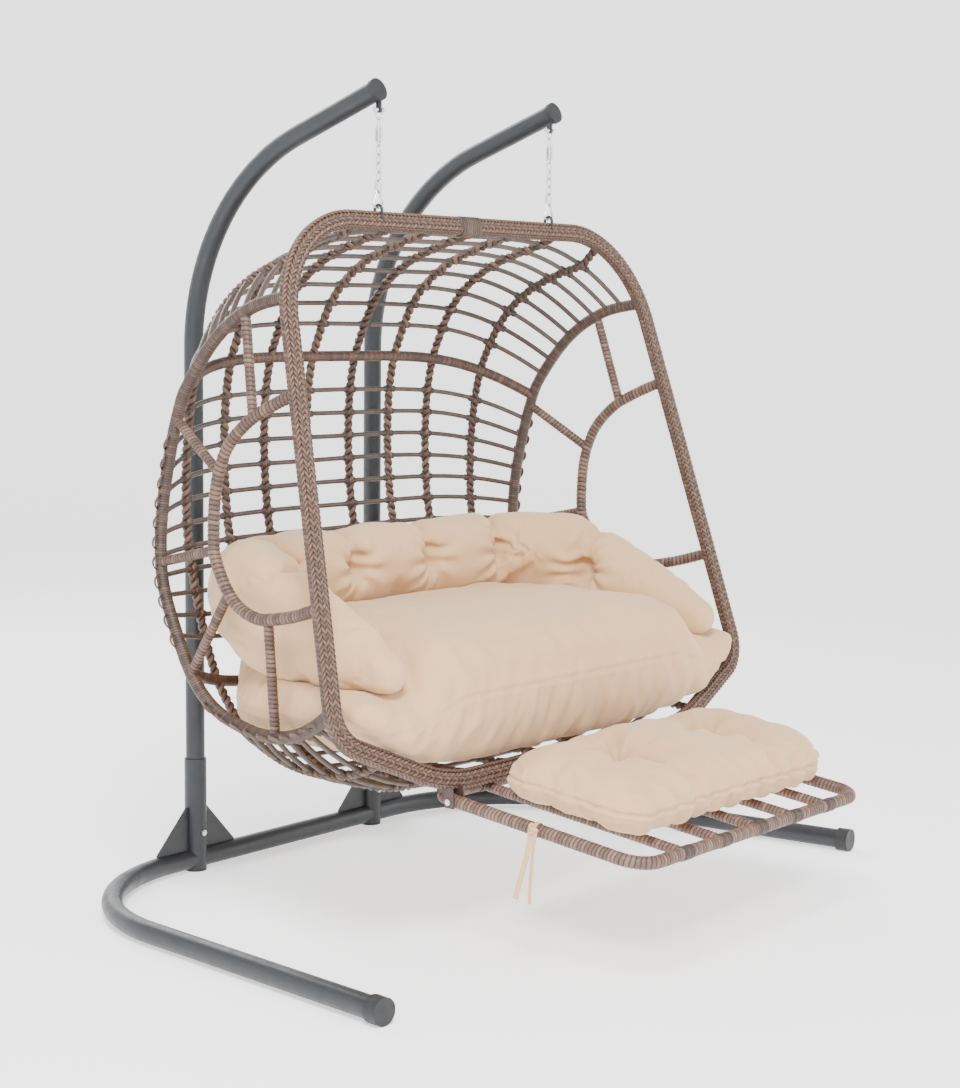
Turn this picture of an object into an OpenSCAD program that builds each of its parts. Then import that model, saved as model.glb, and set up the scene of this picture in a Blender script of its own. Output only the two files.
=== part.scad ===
// Two-seat hanging wicker chair on a twin-arm tube stand, with cushions and a hinged footrest.
// +Z is up, the chair faces -Y, and X runs across it. The origin is on the floor, under the
// middle of the whole object. Positions inside the modules are measured from the plane of
// the two uprights, which placed() moves back by stand_y. All sizes are in millimetres.

/* [Stand] */
// Distance between the centres of the two arms
arm_spacing = 670; // [640:2:700]
// Height of the middle of each arm's end cap
arm_height = 1930; // [1900:5:1960]
// How far each arm reaches forward of its upright
arm_reach = 615; // [600:5:640]
// Slope of the straight end of each arm, in degrees
arm_slope = 20; // [16:1:24]
// Radius of the bend between upright and arm
arm_bend_r = 540; // [480:5:560]
// Outside diameter of the arm tube
arm_d = 48; // [44:0.5:50]
// Outside diameter of the socket that holds an upright
socket_d = 56; // [54:0.5:60]
// Height of the top of the socket
socket_top = 290; // [240:5:320]
// Outside diameter of the base tube
base_d = 50; // [44:1:52]
// Wall of every stand tube
wall = 2; // [1.5:0.1:2.5]
// Distance from the middle to the tip of a base leg, sideways
leg_tip_x = 940; // [900:5:980]
// Distance that a base leg reaches forward of the uprights
leg_reach = 1180; // [1120:5:1240]
// Outward splay of a base leg, in degrees
leg_splay = 5.5; // [3:0.5:8]
// Radius of the base's rear corners, at the middle of the tube
corner_r = 460; // [400:5:470]

/* [Hanging gear] */
// Height of the pin that each chain hangs from
pin_z = 1884; // [1882:1:1886]
// Height of the top of the loops on the basket
loop_z = 1668; // [1666:1:1669]
// Distance that the chains hang forward of the uprights
chain_y = 606; // [606:1:608]
// Distance from the middle to each chain
chain_x = 325; // [320:1:335]
// Wire of the chain links
link_wire = 4; // [3.5:0.1:4]
// Wire of the shock springs
spring_wire = 2.5; // [2:0.1:2.6]

/* [Basket] */
// Height of the middle of the rim's top bar
rim_top_z = 1630; // [1628:1:1632]
// Height of the middle of the rim's bottom bar
rim_bottom_z = 382; // [382:1:386]
// Angle of the rim from upright, in degrees
rim_lean = 15; // [14.5:0.1:15.5]
// Half width between the lines of the rim's sides, at its top bar
rim_top_x = 655; // [652:1:658]
// Half width of the rim at its widest, near the bottom
rim_wide_x = 790; // [785:1:795]
// Steel tube inside the rim
rim_d = 25; // [22:1:26]
// Width of the woven band round the rim
band_w = 44; // [40:1:46]
// Thickness of the woven band
band_t = 29; // [28:1:30]
// Outside diameter of the wrapped side hoops
hoop_d = 30; // [28:1:32]
// Outside diameter of the wrapped window hoops
window_d = 27; // [24:1:28]
// Outside diameter of the wrapped spokes
spoke_d = 23; // [20:1:24]
// Diameter of the thin cross rods
rod_d = 12; // [10:1:13]
// Diameter of a twisted wicker rope
rope_d = 24; // [22:1:25]

/* [Cushions] */
// Height of the top of the seat cushion
seat_top = 700; // [680:5:705]
// Height of the top of the bolster
bolster_top = 885; // [870:5:890]
// Thickness of the bolster, from back to front
bolster_t = 165; // [140:5:170]
// Thickness of the footrest cushion
foot_cushion_t = 130; // [110:5:140]

/* [Footrest] */
// Half width of the footrest frame, between tube centres
foot_half_w = 455; // [450:1:460]
// Length from the hinge bolts to the front bar
foot_reach = 515; // [500:1:520]
// Downward slope of the footrest, in degrees
foot_slope = 7; // [6:0.5:8]
// Height of the hinge bolts
hinge_z = 343; // [341:1:344]
// Outside diameter of the wrapped footrest tube
foot_d = 30; // [28:1:31]

/* [Hidden] */
$fn = 48;

steel = [0.30, 0.33, 0.37];
zinc = [0.75, 0.76, 0.78];
black = [0.10, 0.10, 0.11];
wicker = [0.50, 0.40, 0.34];
rod_brown = [0.42, 0.36, 0.33];
cloth = [0.91, 0.82, 0.70];

// Gap between welded or capped pieces that are drawn apart
weld_gap = 0.2;

// The whole object's depth runs from the footrest's front bar to the ends of the socket bolts.
hinge_y = 955;
bolt_out = 8;
stand_y = (hinge_y + foot_reach * cos(foot_slope) + foot_d / 2 - socket_d / 2 - bolt_out) / 2;
module placed() translate([0, stand_y, 0]) children();
module both_sides() {
  children();
  mirror([1, 0, 0]) children();
}

// ---- tubes in a plane ----
// A straight stretch from p to q, and a bend; the child is the cross-section. The stretch
// is a hair thinner than a bend, and its ends reach a little way into the bends it joins.
module straight(p, q, lap = 0.5) {
  d = q - p;
  start = p - unit(d) * lap;
  translate([start[0], start[1], 0]) rotate([0, 0, atan2(d[1], d[0])]) rotate([90, 0, 90])
    linear_extrude(norm(d) + 2 * lap) scale(0.999) children();
}
module bend(middle, r, from, sweep) {
  translate([middle[0], middle[1], 0]) rotate([0, 0, from])
    rotate_extrude(angle = sweep) translate([r, 0]) children();
}
module ring_section(d, t) difference() { circle(d = d); circle(d = d - 2 * t); }

// ---- closed tube round a polygon whose corners are rounded ----
function unit(v) = v / norm(v);
function turn(a, b, c) = acos(unit(b - a) * unit(c - b));
function tangent_length(a, b, c, r) = r * tan(turn(a, b, c) / 2);
function arc_middle(a, b, c, r) =
  b + unit(unit(a - b) + unit(c - b)) * r / cos(turn(a, b, c) / 2);
// Corners run anticlockwise, so every bend turns left.
module rounded_loop(corners, radii, lap = 0.5) {
  n = len(corners);
  for (i = [0:n - 1]) {
    a = corners[(i + n - 1) % n];
    b = corners[i];
    c = corners[(i + 1) % n];
    e = corners[(i + 2) % n];
    heading = atan2(b[1] - a[1], b[0] - a[0]);
    bend(arc_middle(a, b, c, radii[i]), radii[i], heading - 90, turn(a, b, c)) children();
    straight(b + unit(c - b) * tangent_length(a, b, c, radii[i]),
             c - unit(c - b) * tangent_length(b, c, e, radii[(i + 1) % n]), lap) children();
  }
}

// ---- tubes along free curves ----
// Catmull-Rom curve through a list of points, with steps points on each stretch.
function spline_point(a, b, c, d, t) =
  0.5 * (2 * b + (c - a) * t + (2 * a - 5 * b + 4 * c - d) * t * t
    + (3 * b - a - 3 * c + d) * t * t * t);
function spline(p, steps) = let (n = len(p)) concat(
  [for (i = [0:n - 2]) for (k = [0:steps - 1])
    spline_point(p[max(i - 1, 0)], p[i], p[i + 1], p[min(i + 2, n - 1)], k / steps)],
  [p[n - 1]]);
function total(v, i = 0) = i >= len(v) ? 0 : v[i] + total(v, i + 1);
function running(p) = [for (i = 0, s = 0; i < len(p); i = i + 1,
  s = s + (i < len(p) ? norm(p[i] - p[i - 1]) : 0)) s];
// The point a given share of the way along a curve.
function at_share(p, sums, share) = let (
  target = share * sums[len(sums) - 1],
  i = max([for (k = [0:len(sums) - 2]) if (sums[k] <= target) k]),
  t = (target - sums[i]) / (sums[i + 1] - sums[i])) p[i] + (p[i + 1] - p[i]) * t;

// A closed solid through a list of rings that all have the same number of points.
module loft(rings) {
  n = len(rings);
  m = len(rings[0]);
  points = [for (ring = rings) for (q = ring) q];
  sides = [for (i = [0:n - 2]) for (k = [0:m - 1])
    let (a = i * m + k, b = i * m + (k + 1) % m) each [[a, a + m, b], [a + m, b + m, b]]];
  polyhedron(points, concat([[for (k = [0:m - 1]) k]],
    [[for (k = [m - 1:-1:0]) (n - 1) * m + k]], sides));
}
function tube_ring(p, i, d, sides, away) = let (
  t = unit(p[min(i + 1, len(p) - 1)] - p[max(i - 1, 0)]),
  u = unit(cross(t, away)),
  v = cross(t, u))
  [for (k = [0:sides - 1]) p[i] + d / 2 * (cos(360 * k / sides) * u + sin(360 * k / sides) * v)];
module sweep(p, d, sides, away) loft([for (i = [0:len(p) - 1]) tube_ring(p, i, d, sides, away)]);

// ---- stand ----
arm_run = (arm_reach - arm_bend_r * (1 - sin(arm_slope))) / cos(arm_slope);
upright_z = arm_height - arm_bend_r * cos(arm_slope) - arm_run * sin(arm_slope);
base_z = 30;
module in_arm_plane(x) placed() translate([x, 0, 0]) rotate([90, 0, -90]) children();

// In the arm's plane, the first axis points forward and the second up.
arm_cap_face = 3;
leg_cap_face = 4;
cap_room = 0.6;
module arm() difference() {
  middle = [arm_bend_r, upright_z];
  bend_end = middle + arm_bend_r * [-sin(arm_slope), cos(arm_slope)];
  tip = [arm_reach, arm_height];
  arm_dir = [cos(arm_slope), sin(arm_slope)];
  union() {
    straight([0, base_z + 12], [0, upright_z]) ring_section(arm_d, wall);
    bend(middle, arm_bend_r, 90 + arm_slope, 90 - arm_slope) ring_section(arm_d, wall);
    straight(bend_end, tip - arm_dir * (arm_cap_face + cap_room)) ring_section(arm_d, wall);
  }
  translate([0, bolt_z, 0]) rotate([0, 90, 0]) cylinder(d = bolt_d + 0.4, h = 80, center = true);
}
module arm_left() color(steel) in_arm_plane(-arm_spacing / 2) arm();
module arm_right() color(steel) in_arm_plane(arm_spacing / 2) arm();

// Cap over a tube's end, along +Z, with its face at z = 0.
module end_cap(outer, tube, skirt, face) {
  difference() {
    translate([0, 0, -skirt]) cylinder(d = outer, h = skirt);
    translate([0, 0, -skirt - 1]) cylinder(d = tube + 0.2, h = skirt + 1 - face);
  }
}
arm_cap_d = 53.5;
arm_cap_skirt = 11;
module arm_caps() color(black) both_sides() placed()
  translate([arm_spacing / 2, -arm_reach, arm_height]) rotate([90 - arm_slope, 0, 0])
    end_cap(arm_cap_d, arm_d, arm_cap_skirt, arm_cap_face);

socket_floor = 6;
module socket(side) placed() translate([side * arm_spacing / 2, 0, 0]) difference() {
  translate([0, 0, socket_floor]) cylinder(d = socket_d, h = socket_top - socket_floor);
  translate([0, 0, socket_floor - 1]) cylinder(d = arm_d + 0.4, h = socket_top);
  translate([0, 0, bolt_z]) rotate([90, 0, 0]) cylinder(d = bolt_d + 0.4, h = 80, center = true);
}
module socket_left() color(steel) socket(-1);
module socket_right() color(steel) socket(1);

// Base legs lie flat: a stub behind the socket, a wide bend, and a long splayed leg.
bolt_z = 100;
bolt_d = 8;
leg_turn = 90 - leg_splay;
leg_dir = [sin(leg_splay), -cos(leg_splay)];
leg_corner_x = leg_tip_x - leg_reach * tan(leg_splay);
leg_tangent = corner_r * tan(leg_turn / 2);
leg_start_x = arm_spacing / 2 + 10;
// A tube that meets a socket is notched to its round side.
module socket_notch() translate([arm_spacing / 2, 0, -base_z])
  cylinder(d = socket_d + 2 * weld_gap, h = 2 * base_z);
module base_leg(side) placed() translate([0, 0, base_z]) mirror([side < 0 ? 1 : 0, 0, 0])
  difference() {
    bend_start = [leg_corner_x - leg_tangent, 0];
    bend_stop = [leg_corner_x, 0] + leg_dir * leg_tangent;
    leg_end = [leg_tip_x, -leg_reach] - leg_dir * (leg_cap_face + cap_room);
    union() {
      straight([leg_start_x, 0], bend_start) ring_section(base_d, wall);
      bend(bend_start - [0, corner_r], corner_r, 90 - leg_turn, leg_turn)
        ring_section(base_d, wall);
      straight(bend_stop, leg_end) ring_section(base_d, wall);
    }
    socket_notch();
  }
module base_leg_left() color(steel) base_leg(-1);
module base_leg_right() color(steel) base_leg(1);
module base_crossbar() color(steel) placed() translate([0, 0, base_z]) difference() {
  rotate([0, 90, 0]) linear_extrude(2 * arm_spacing - 2 * leg_start_x, center = true)
    ring_section(base_d, wall);
  both_sides() socket_notch();
}
module leg_caps() color(black) both_sides() placed()
  translate([leg_tip_x, -leg_reach, base_z]) rotate([90, 0, leg_splay])
    end_cap(2 * base_z, base_d, 34, leg_cap_face);

gusset_run = 105;
gusset_top = 165;
gusset_t = 5;
module gusset() translate([socket_d / 2, gusset_t / 2, base_z + base_d / 2]) rotate([90, 0, 0])
  linear_extrude(gusset_t) polygon([[0, 0], [gusset_run, 0], [gusset_run, 4],
    [6, gusset_top - base_z - base_d / 2], [0, gusset_top - base_z - base_d / 2]]);
module gusset_pair(x) placed() translate([x, 0, 0]) both_sides() gusset();
module gussets_left() color(steel) gusset_pair(-arm_spacing / 2);
module gussets_right() color(steel) gusset_pair(arm_spacing / 2);

// A plug closes the bottom of each socket and stands on the floor.
module socket_feet() color(black) both_sides() placed() translate([arm_spacing / 2, 0, 0]) {
  cylinder(d = socket_d, h = socket_floor);
  cylinder(d = arm_d - 2, h = base_z);
}
module socket_bolts() color(zinc) both_sides() placed()
  translate([arm_spacing / 2, 0, bolt_z]) rotate([90, 0, 0]) {
    cylinder(d = bolt_d, h = socket_d + 2 * bolt_out, center = true);
    translate([0, 0, socket_d / 2]) cylinder(d = 15, h = 5);
  }
module socket_nuts() color(zinc) both_sides() placed()
  translate([arm_spacing / 2, socket_d / 2, bolt_z]) rotate([-90, 0, 0]) difference() {
    cylinder(d = 15, h = 6.5, $fn = 6);
    translate([0, 0, -1]) cylinder(d = bolt_d, h = 9);
  }

// ---- hanging gear ----
pin_d = 6;
tab_t = 5;
tab_w = 14;
// A small plate under each arm, cut to sit on the tube.
module hanging_tabs() color(steel) both_sides() placed() difference() {
  translate([chain_x - tab_t / 2, -chain_y, pin_z]) rotate([90, 0, 90]) difference() {
    linear_extrude(tab_t) union() {
      circle(d = tab_w);
      translate([-tab_w / 2, 0]) square([tab_w, 26]);
    }
    translate([0, 0, -1]) cylinder(d = pin_d + 0.1, h = tab_t + 2);
  }
  translate([arm_spacing / 2, -arm_reach, arm_height]) rotate([90 - arm_slope, 0, 0]) {
    cylinder(d = arm_d, h = 160, center = true);
    translate([0, 0, -arm_cap_skirt - weld_gap]) cylinder(d = arm_cap_d + 2 * weld_gap, h = 30);
  }
}

module on_chain(side, z) placed() translate([side * chain_x, -chain_y, z]) children();
module upright_plane() rotate([90, 0, 0]) children();

shackle_wire = 4.5;
shackle_half_w = 9.5;
shackle_drop = 12;
ear_d = 11;
ear_t = 5;
module shackle(side) on_chain(side, pin_z) difference() {
  union() {
    translate([0, 0, -shackle_drop]) upright_plane()
      bend([0, 0], shackle_half_w, 180, 180) circle(d = shackle_wire);
    for (s = [-1, 1]) {
      translate([s * shackle_half_w, 0, -shackle_drop]) cylinder(d = shackle_wire, h = shackle_drop);
      translate([s * shackle_half_w, 0, 0]) rotate([0, 90, 0])
        cylinder(d = ear_d, h = ear_t, center = true);
    }
  }
  rotate([0, 90, 0]) cylinder(d = pin_d, h = 60, center = true);
}
ear_out = shackle_half_w + ear_t / 2;
module shackle_pin(side) on_chain(side, pin_z) rotate([0, 90, 0]) {
  cylinder(d = pin_d, h = 2 * ear_out, center = true);
  translate([0, 0, ear_out]) cylinder(d = 11, h = 5, $fn = 6);
  translate([0, 0, -ear_out - 4]) cylinder(d = 11, h = 4);
}
module shackle_left() color(zinc) shackle(-1);
module shackle_right() color(zinc) shackle(1);
module shackle_pin_left() color(zinc) shackle_pin(-1);
module shackle_pin_right() color(zinc) shackle_pin(1);

// Shock spring: a coil squeezed between two wire yokes that pull through it.
coil_d = 18;
coil_low = 1812;
coil_high = 1844;
coil_turns = 7;
coil_steps = 14;
yoke_wire = 3.2;
yoke_half_w = 4;
yoke_foot = 4.5;
foot_gap = yoke_wire / 2 + 0.05;
wire_gap = 0.1;
yoke_top = pin_z - shackle_drop - shackle_half_w + shackle_wire / 2 + yoke_wire / 2 + wire_gap;
yoke_bottom = coil_low - 12;
coil_r = (coil_d - spring_wire) / 2;
coil_rise = coil_high - coil_low - spring_wire;
coil_line = [for (i = [0:coil_turns * coil_steps])
  [coil_r * cos(360 * i / coil_steps), coil_r * sin(360 * i / coil_steps),
   coil_rise * i / (coil_turns * coil_steps)]];
module coil(side) on_chain(side, coil_low + spring_wire / 2)
  sweep(coil_line, spring_wire, 6, [0, 0, 1]);
module spring_left() color(zinc) coil(-1);
module spring_right() color(zinc) coil(1);

// A yoke is a hairpin: an eye at one end, two legs, and a foot on each leg past the coil.
module yoke(eye_z, foot_z) {
  up = eye_z > foot_z ? 1 : -1;
  shoulder_z = eye_z - up * yoke_half_w;
  upright_plane() bend([0, shoulder_z], yoke_half_w, up > 0 ? 0 : 180, 180)
    circle(d = yoke_wire);
  for (s = [-1, 1]) {
    translate([s * yoke_half_w, 0, min(shoulder_z, foot_z)])
      cylinder(d = yoke_wire, h = abs(shoulder_z - foot_z));
    translate([s * yoke_half_w, 0, foot_z]) sphere(d = yoke_wire);
    translate([s * yoke_half_w, 0, foot_z]) rotate([0, s * 90, 0])
      cylinder(d = yoke_wire, h = yoke_foot);
  }
}
module upper_yoke(side) on_chain(side, 0) rotate([0, 0, 90])
  yoke(yoke_top, coil_low - foot_gap);
module lower_yoke(side) on_chain(side, 0) yoke(yoke_bottom, coil_high + foot_gap);
module spring_upper_yoke_left() color(zinc) upper_yoke(-1);
module spring_upper_yoke_right() color(zinc) upper_yoke(1);
module spring_lower_yoke_left() color(zinc) lower_yoke(-1);
module spring_lower_yoke_right() color(zinc) lower_yoke(1);

// Oval link: two round ends and two straight sides, measured along the wire's middle.
module oval_link(length, half_w, wire) {
  straight_h = length - 2 * half_w;
  upright_plane() {
    bend([0, straight_h / 2], half_w, 0, 180) circle(d = wire);
    bend([0, -straight_h / 2], half_w, 180, 180) circle(d = wire);
  }
  for (s = [-1, 1]) translate([s * half_w, 0, 0])
    cylinder(d = wire, h = straight_h, center = true);
}
link_count = 4;
link_pitch = 19.5;
link_length = link_pitch + link_wire + wire_gap;
link_half_w = 6.4;
first_link_z = yoke_bottom + yoke_wire / 2 + link_wire / 2 + wire_gap - link_length / 2;
module chain_run(side) for (i = [0:link_count - 1])
  on_chain(side, first_link_z - i * link_pitch) rotate([0, 0, i % 2 == 0 ? 90 : 0])
    oval_link(link_length, link_half_w, link_wire);
module chain_left() color(zinc) chain_run(-1);
module chain_right() color(zinc) chain_run(1);

quick_length = 30;
quick_half_w = 7.5;
quick_wire = 4.5;
quick_z = first_link_z - (link_count - 1) * link_pitch - link_length / 2
  + link_wire / 2 + quick_wire / 2 + wire_gap - quick_length / 2;
module quick_link(side) on_chain(side, quick_z) rotate([0, 0, 90]) {
  oval_link(quick_length, quick_half_w, quick_wire);
  translate([quick_half_w, 0, -5]) cylinder(d = 8.5, h = 10, $fn = 6);
}
module quick_link_left() color(zinc) quick_link(-1);
module quick_link_right() color(zinc) quick_link(1);

// Triangular link whose bottom bar passes under the top of the basket's loop.
delta_wire = 5;
loop_wire = 7;
delta_bottom = loop_z - loop_wire / 2 - delta_wire / 2 - 0.3;
delta_top = quick_z - quick_length / 2 + quick_wire / 2 + delta_wire / 2 + wire_gap;
// The sides run from the bottom corners past a small circle whose top is at delta_top.
delta_half_w = 20;
delta_r = 6;
delta_peak = delta_top - delta_bottom - delta_r;
delta_side = atan2(delta_peak, -delta_half_w) - asin(delta_r / norm([delta_half_w, delta_peak]));
delta_apex = -delta_half_w * tan(delta_side);
module delta_link(side) on_chain(side, delta_bottom) upright_plane()
  rounded_loop([[-delta_half_w, 0], [delta_half_w, 0], [0, delta_apex]], [7, 7, delta_r], 0.1)
    circle(d = delta_wire);
module delta_link_left() color(zinc) delta_link(-1);
module delta_link_right() color(zinc) delta_link(1);

// ---- basket ----
// The rim lies in a plane that leans back; its second axis runs up that plane.
rim_foot_y = chain_y + rim_top_z * tan(rim_lean);
function up_rim(z) = z / cos(rim_lean);
function rim_y(z) = z * tan(rim_lean) - rim_foot_y;
module in_rim_plane() placed() translate([0, -rim_foot_y, 0]) rotate([90 - rim_lean, 0, 0])
  children();
rim_right = [[470, up_rim(rim_bottom_z)], [rim_wide_x, up_rim(rim_bottom_z + 136)],
  [rim_top_x, up_rim(rim_top_z)]];
rim_corners = concat(rim_right, [for (i = [2:-1:0]) [-rim_right[i][0], rim_right[i][1]]]);
rim_radii = [440, 90, 264, 264, 90, 440];
module rim_frame() color(steel) in_rim_plane() rounded_loop(rim_corners, rim_radii)
  ring_section(rim_d, 1.6);
module band_section() difference() {
  polygon([for (s = [[1, 1], [-1, 1], [-1, -1], [1, -1]])
    each s[0] * s[1] > 0 ? [[s[0] * band_w / 2, s[1] * 8], [s[0] * 16, s[1] * band_t / 2]]
      : [[s[0] * 16, s[1] * band_t / 2], [s[0] * band_w / 2, s[1] * 8]]]);
  circle(d = rim_d);
}
module rim_band() color(wicker) in_rim_plane() rounded_loop(rim_corners, rim_radii)
  band_section();

// Each loop is a staple of bar whose legs go through the band and are welded to the rim.
loop_half_w = 11;
loop_foot = rim_top_z + 7;
module basket_loop(x) placed() translate([x, -chain_y, 0]) rotate([90, 0, 90]) {
  bend([0, loop_z - loop_half_w], loop_half_w, 0, 180) circle(d = loop_wire);
  for (s = [-1, 1]) translate([s * loop_half_w, loop_foot, 0]) rotate([-90, 0, 0])
    cylinder(d = loop_wire, h = loop_z - loop_half_w - loop_foot);
}
module basket_loops() color(black) both_sides() basket_loop(chain_x);

// Points along the basket, measured back from the chains' plane and up from the floor.
// Line down the middle of the back: over the crown, down the back and under the seat.
middle_points = [[0, 15, 1632], [0, 60, 1617], [0, 120, 1600], [0, 180, 1581], [0, 245, 1556],
  [0, 300, 1523], [0, 347, 1483], [0, 388, 1428], [0, 415, 1371], [0, 438, 1314],
  [0, 452, 1252], [0, 459, 1190], [0, 462, 1106], [0, 460, 1046], [0, 455, 973],
  [0, 446, 902], [0, 432, 840], [0, 415, 770], [0, 395, 680], [0, 366, 580], [0, 316, 480],
  [0, 240, 395], [0, 150, 340], [0, 50, 312], [0, -60, 306], [0, -150, 322], [0, -220, 352],
  [0, -272, 386], [0, -330, 395]];
// Right-hand side hoop and window hoop, from the rim's top round to the bottom.
hoop_points = [[670, -38, 1452], [666, 72, 1428], [665, 183, 1361], [665, 278, 1250],
  [665, 315, 1170], [665, 343, 1070], [665, 363, 970], [665, 371, 870], [665, 361, 780],
  [665, 321, 680], [665, 263, 575], [665, 188, 510], [668, 83, 478], [680, -7, 475],
  [702, -97, 492], [734, -187, 528], [768, -266, 572]];
window_points = [[697, -94, 1243], [698, -28, 1217], [698, 46, 1180], [700, 103, 1130],
  [700, 133, 1080], [700, 153, 1009], [700, 158, 900], [702, 145, 852], [706, 107, 795],
  [712, 61, 761], [720, 0, 745], [728, -58, 750], [740, -134, 765], [755, -212, 788]];
spoke_ends = [[[666, 90, 1420], [699, 34, 1187]], [[665, 314, 1172], [700, 141, 1060]],
  [[665, 368, 838], [701, 153, 885]], [[665, 270, 585], [706, 103, 792]],
  [[724, -37, 747], [683, -19, 476]]];
module in_basket() placed() translate([0, -chain_y, 0]) children();
middle_line = spline(middle_points, 4);
middle_sums = running(middle_line);
hoop_line = spline(hoop_points, 5);
hoop_sums = running(hoop_line);
hoop_x = 665;
// A cross member at one share of the way round, from hoop to hoop; flat in the middle.
function across(share, x) = let (
  m = at_share(middle_line, middle_sums, share),
  h = at_share(hoop_line, hoop_sums, share),
  reach = min(1, abs(x) / hoop_x), w = pow(reach, 4.5))
  [x * (1 + (h[0] / hoop_x - 1) * w), m[1] + (h[1] - m[1]) * w, m[2] + (h[2] - m[2]) * w];
cross_xs = [-665, -645, -620, -585, -540, -480, -380, -220, 0,
  220, 380, 480, 540, 585, 620, 645, 665];
module cross_member(share, d, sides) in_basket()
  sweep([for (x = cross_xs) across(share, x)], d, sides, [0, 0.6, 0.8]);

module side_hoop() in_basket() sweep(spline(hoop_points, 3), hoop_d, 12, [1, 0, 0]);
module side_hoop_left() color(wicker) mirror([1, 0, 0]) side_hoop();
module side_hoop_right() color(wicker) side_hoop();
module window_hoop() in_basket() sweep(spline(window_points, 3), window_d, 12, [1, 0, 0]);
module window_hoop_left() color(wicker) mirror([1, 0, 0]) window_hoop();
module window_hoop_right() color(wicker) window_hoop();
// Round bar from one point to another.
module bar(p, q, d) {
  v = q - p;
  translate(p) rotate([0, acos(v[2] / norm(v)), atan2(v[1], v[0])])
    cylinder(d = d, h = norm(v));
}
module spokes() in_basket() for (e = spoke_ends) bar(e[0], e[1], spoke_d);
module spokes_left() color(wicker) mirror([1, 0, 0]) spokes();
module spokes_right() color(wicker) spokes();

// Round the back there is room for 36 equal steps between rods.
steps = 36;
module middle_tube() color(wicker) cross_member(9.5 / steps, 27, 12);
module lower_tube() color(wicker) cross_member(23 / steps, 27, 12);
module rods(from, to) color(rod_brown) for (i = [from:to]) cross_member(i / steps, rod_d, 6);
module crown_rods() rods(1, 8);
module back_rods() rods(11, 16);
module lower_back_rods() rods(17, 21);
module seat_rods() rods(25, 34);

// Middle of the rim's top and bottom bars at x, where the side bends may have begun.
low_bend_x = rim_right[0][0]
  - tangent_length(rim_corners[5], rim_corners[0], rim_corners[1], rim_radii[0]);
high_bend_x = rim_right[2][0]
  - tangent_length(rim_corners[1], rim_corners[2], rim_corners[3], rim_radii[2]);
function arc_rise(run, r) = run <= 0 ? 0 : cos(rim_lean) * (r - sqrt(r * r - run * run));
function on_rim(x, z) = [x, rim_y(z) + chain_y, z];
function rim_high(x) = on_rim(x, rim_top_z - arc_rise(x - high_bend_x, rim_radii[2]));
// The ropes end a little above the middle of the bottom bar, clear of the footrest's rear bar.
rope_lift = 5;
function rim_low(x) = on_rim(x, rim_bottom_z + rope_lift
  + arc_rise(x - low_bend_x, rim_radii[0]));

// A rope follows the rods, and runs from the first and last rod straight to the rim.
rope_xs = [79, 233, 379, 536];
rope_steps = 44;
first_rod = 1 / steps;
last_rod = 34 / steps;
function mix(p, q, t) = p + (q - p) * t;
function rope_point(share, x) =
  share < first_rod ? mix(rim_high(x), across(first_rod, x), share / first_rod)
  : share > last_rod
    ? mix(across(last_rod, x), rim_low(x), (share - last_rod) / (1 - last_rod))
    : across(share, x);
module wicker_ropes() color(wicker) both_sides() in_basket() for (x = rope_xs)
  sweep([for (k = [0:rope_steps]) rope_point(k / rope_steps, x)], rope_d, 6, [1, 0, 0]);

// ---- cushions ----
// Superellipse ring round a centre, in the plane of the two given directions.
function super_ring(middle, u, v, n, sides) = [for (k = [0:sides - 1]) let (a = 360 * k / sides,
  c = cos(a), s = sin(a))
  middle + u * sign(c) * pow(abs(c), 2 / n) + v * sign(s) * pow(abs(s), 2 / n)];
// Seat cushion, from the middle to one side: distance sideways, then how low, high, far forward
// and far back it reaches. It widens towards the front, where it fills the rim from side to side.
seat_low = 412;
seat_half = [[0, seat_low, seat_top, -350, 330], [250, seat_low, seat_top, -350, 328],
  [380, 418, seat_top - 2, -349, 318], [450, 427, seat_top - 10, -348, 304],
  [490, 434, seat_top - 34, -347, 288], [520, 442, seat_top - 64, -346, 262],
  [545, 449, seat_top - 90, -345, 240], [570, 457, seat_top - 108, -344, 218],
  [600, 467, seat_top - 116, -342, 186], [628, 479, seat_top - 118, -340, 136],
  [648, 496, seat_top - 116, -336, 60], [670, 504, seat_top - 112, -332, -40],
  [692, 520, seat_top - 110, -327, -120], [712, 534, seat_top - 112, -318, -200],
  [728, 546, seat_top - 118, -306, -236], [736, 554, seat_top - 126, -296, -250]];
seat_last = len(seat_half) - 1;
seat_rings = concat([for (i = [seat_last:-1:1]) let (r = seat_half[i]) [-r[0], r[1], r[2], r[3], r[4]]],
  seat_half);
// The underside sags into the bowl of rods, and its back edge follows the slope of the rods.
seat_sag = 60;
sag_middle = 30;
sag_reach = 230;
bowl_back = 228;
bowl_slope = 0.72;
function fade(t) = abs(t) >= 1 ? 0 : pow(1 - t * t, 2);
function sagged(q) = [q[0], min(q[1], bowl_back + bowl_slope * (q[2] - seat_low)),
  q[2] - seat_sag * fade(q[0] / 560) * fade((q[1] - sag_middle) / sag_reach)
    * max(0, (seat_low + 90 - q[2]) / 90)];
module seat_cushion() color(cloth) in_basket() loft([for (r = seat_rings)
  [for (q = super_ring([r[0], (r[3] + r[4]) / 2, (r[1] + r[2]) / 2], [0, (r[4] - r[3]) / 2, 0],
    [0, 0, (r[2] - r[1]) / 2], 4, 36)) sagged(q)]]);

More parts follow.
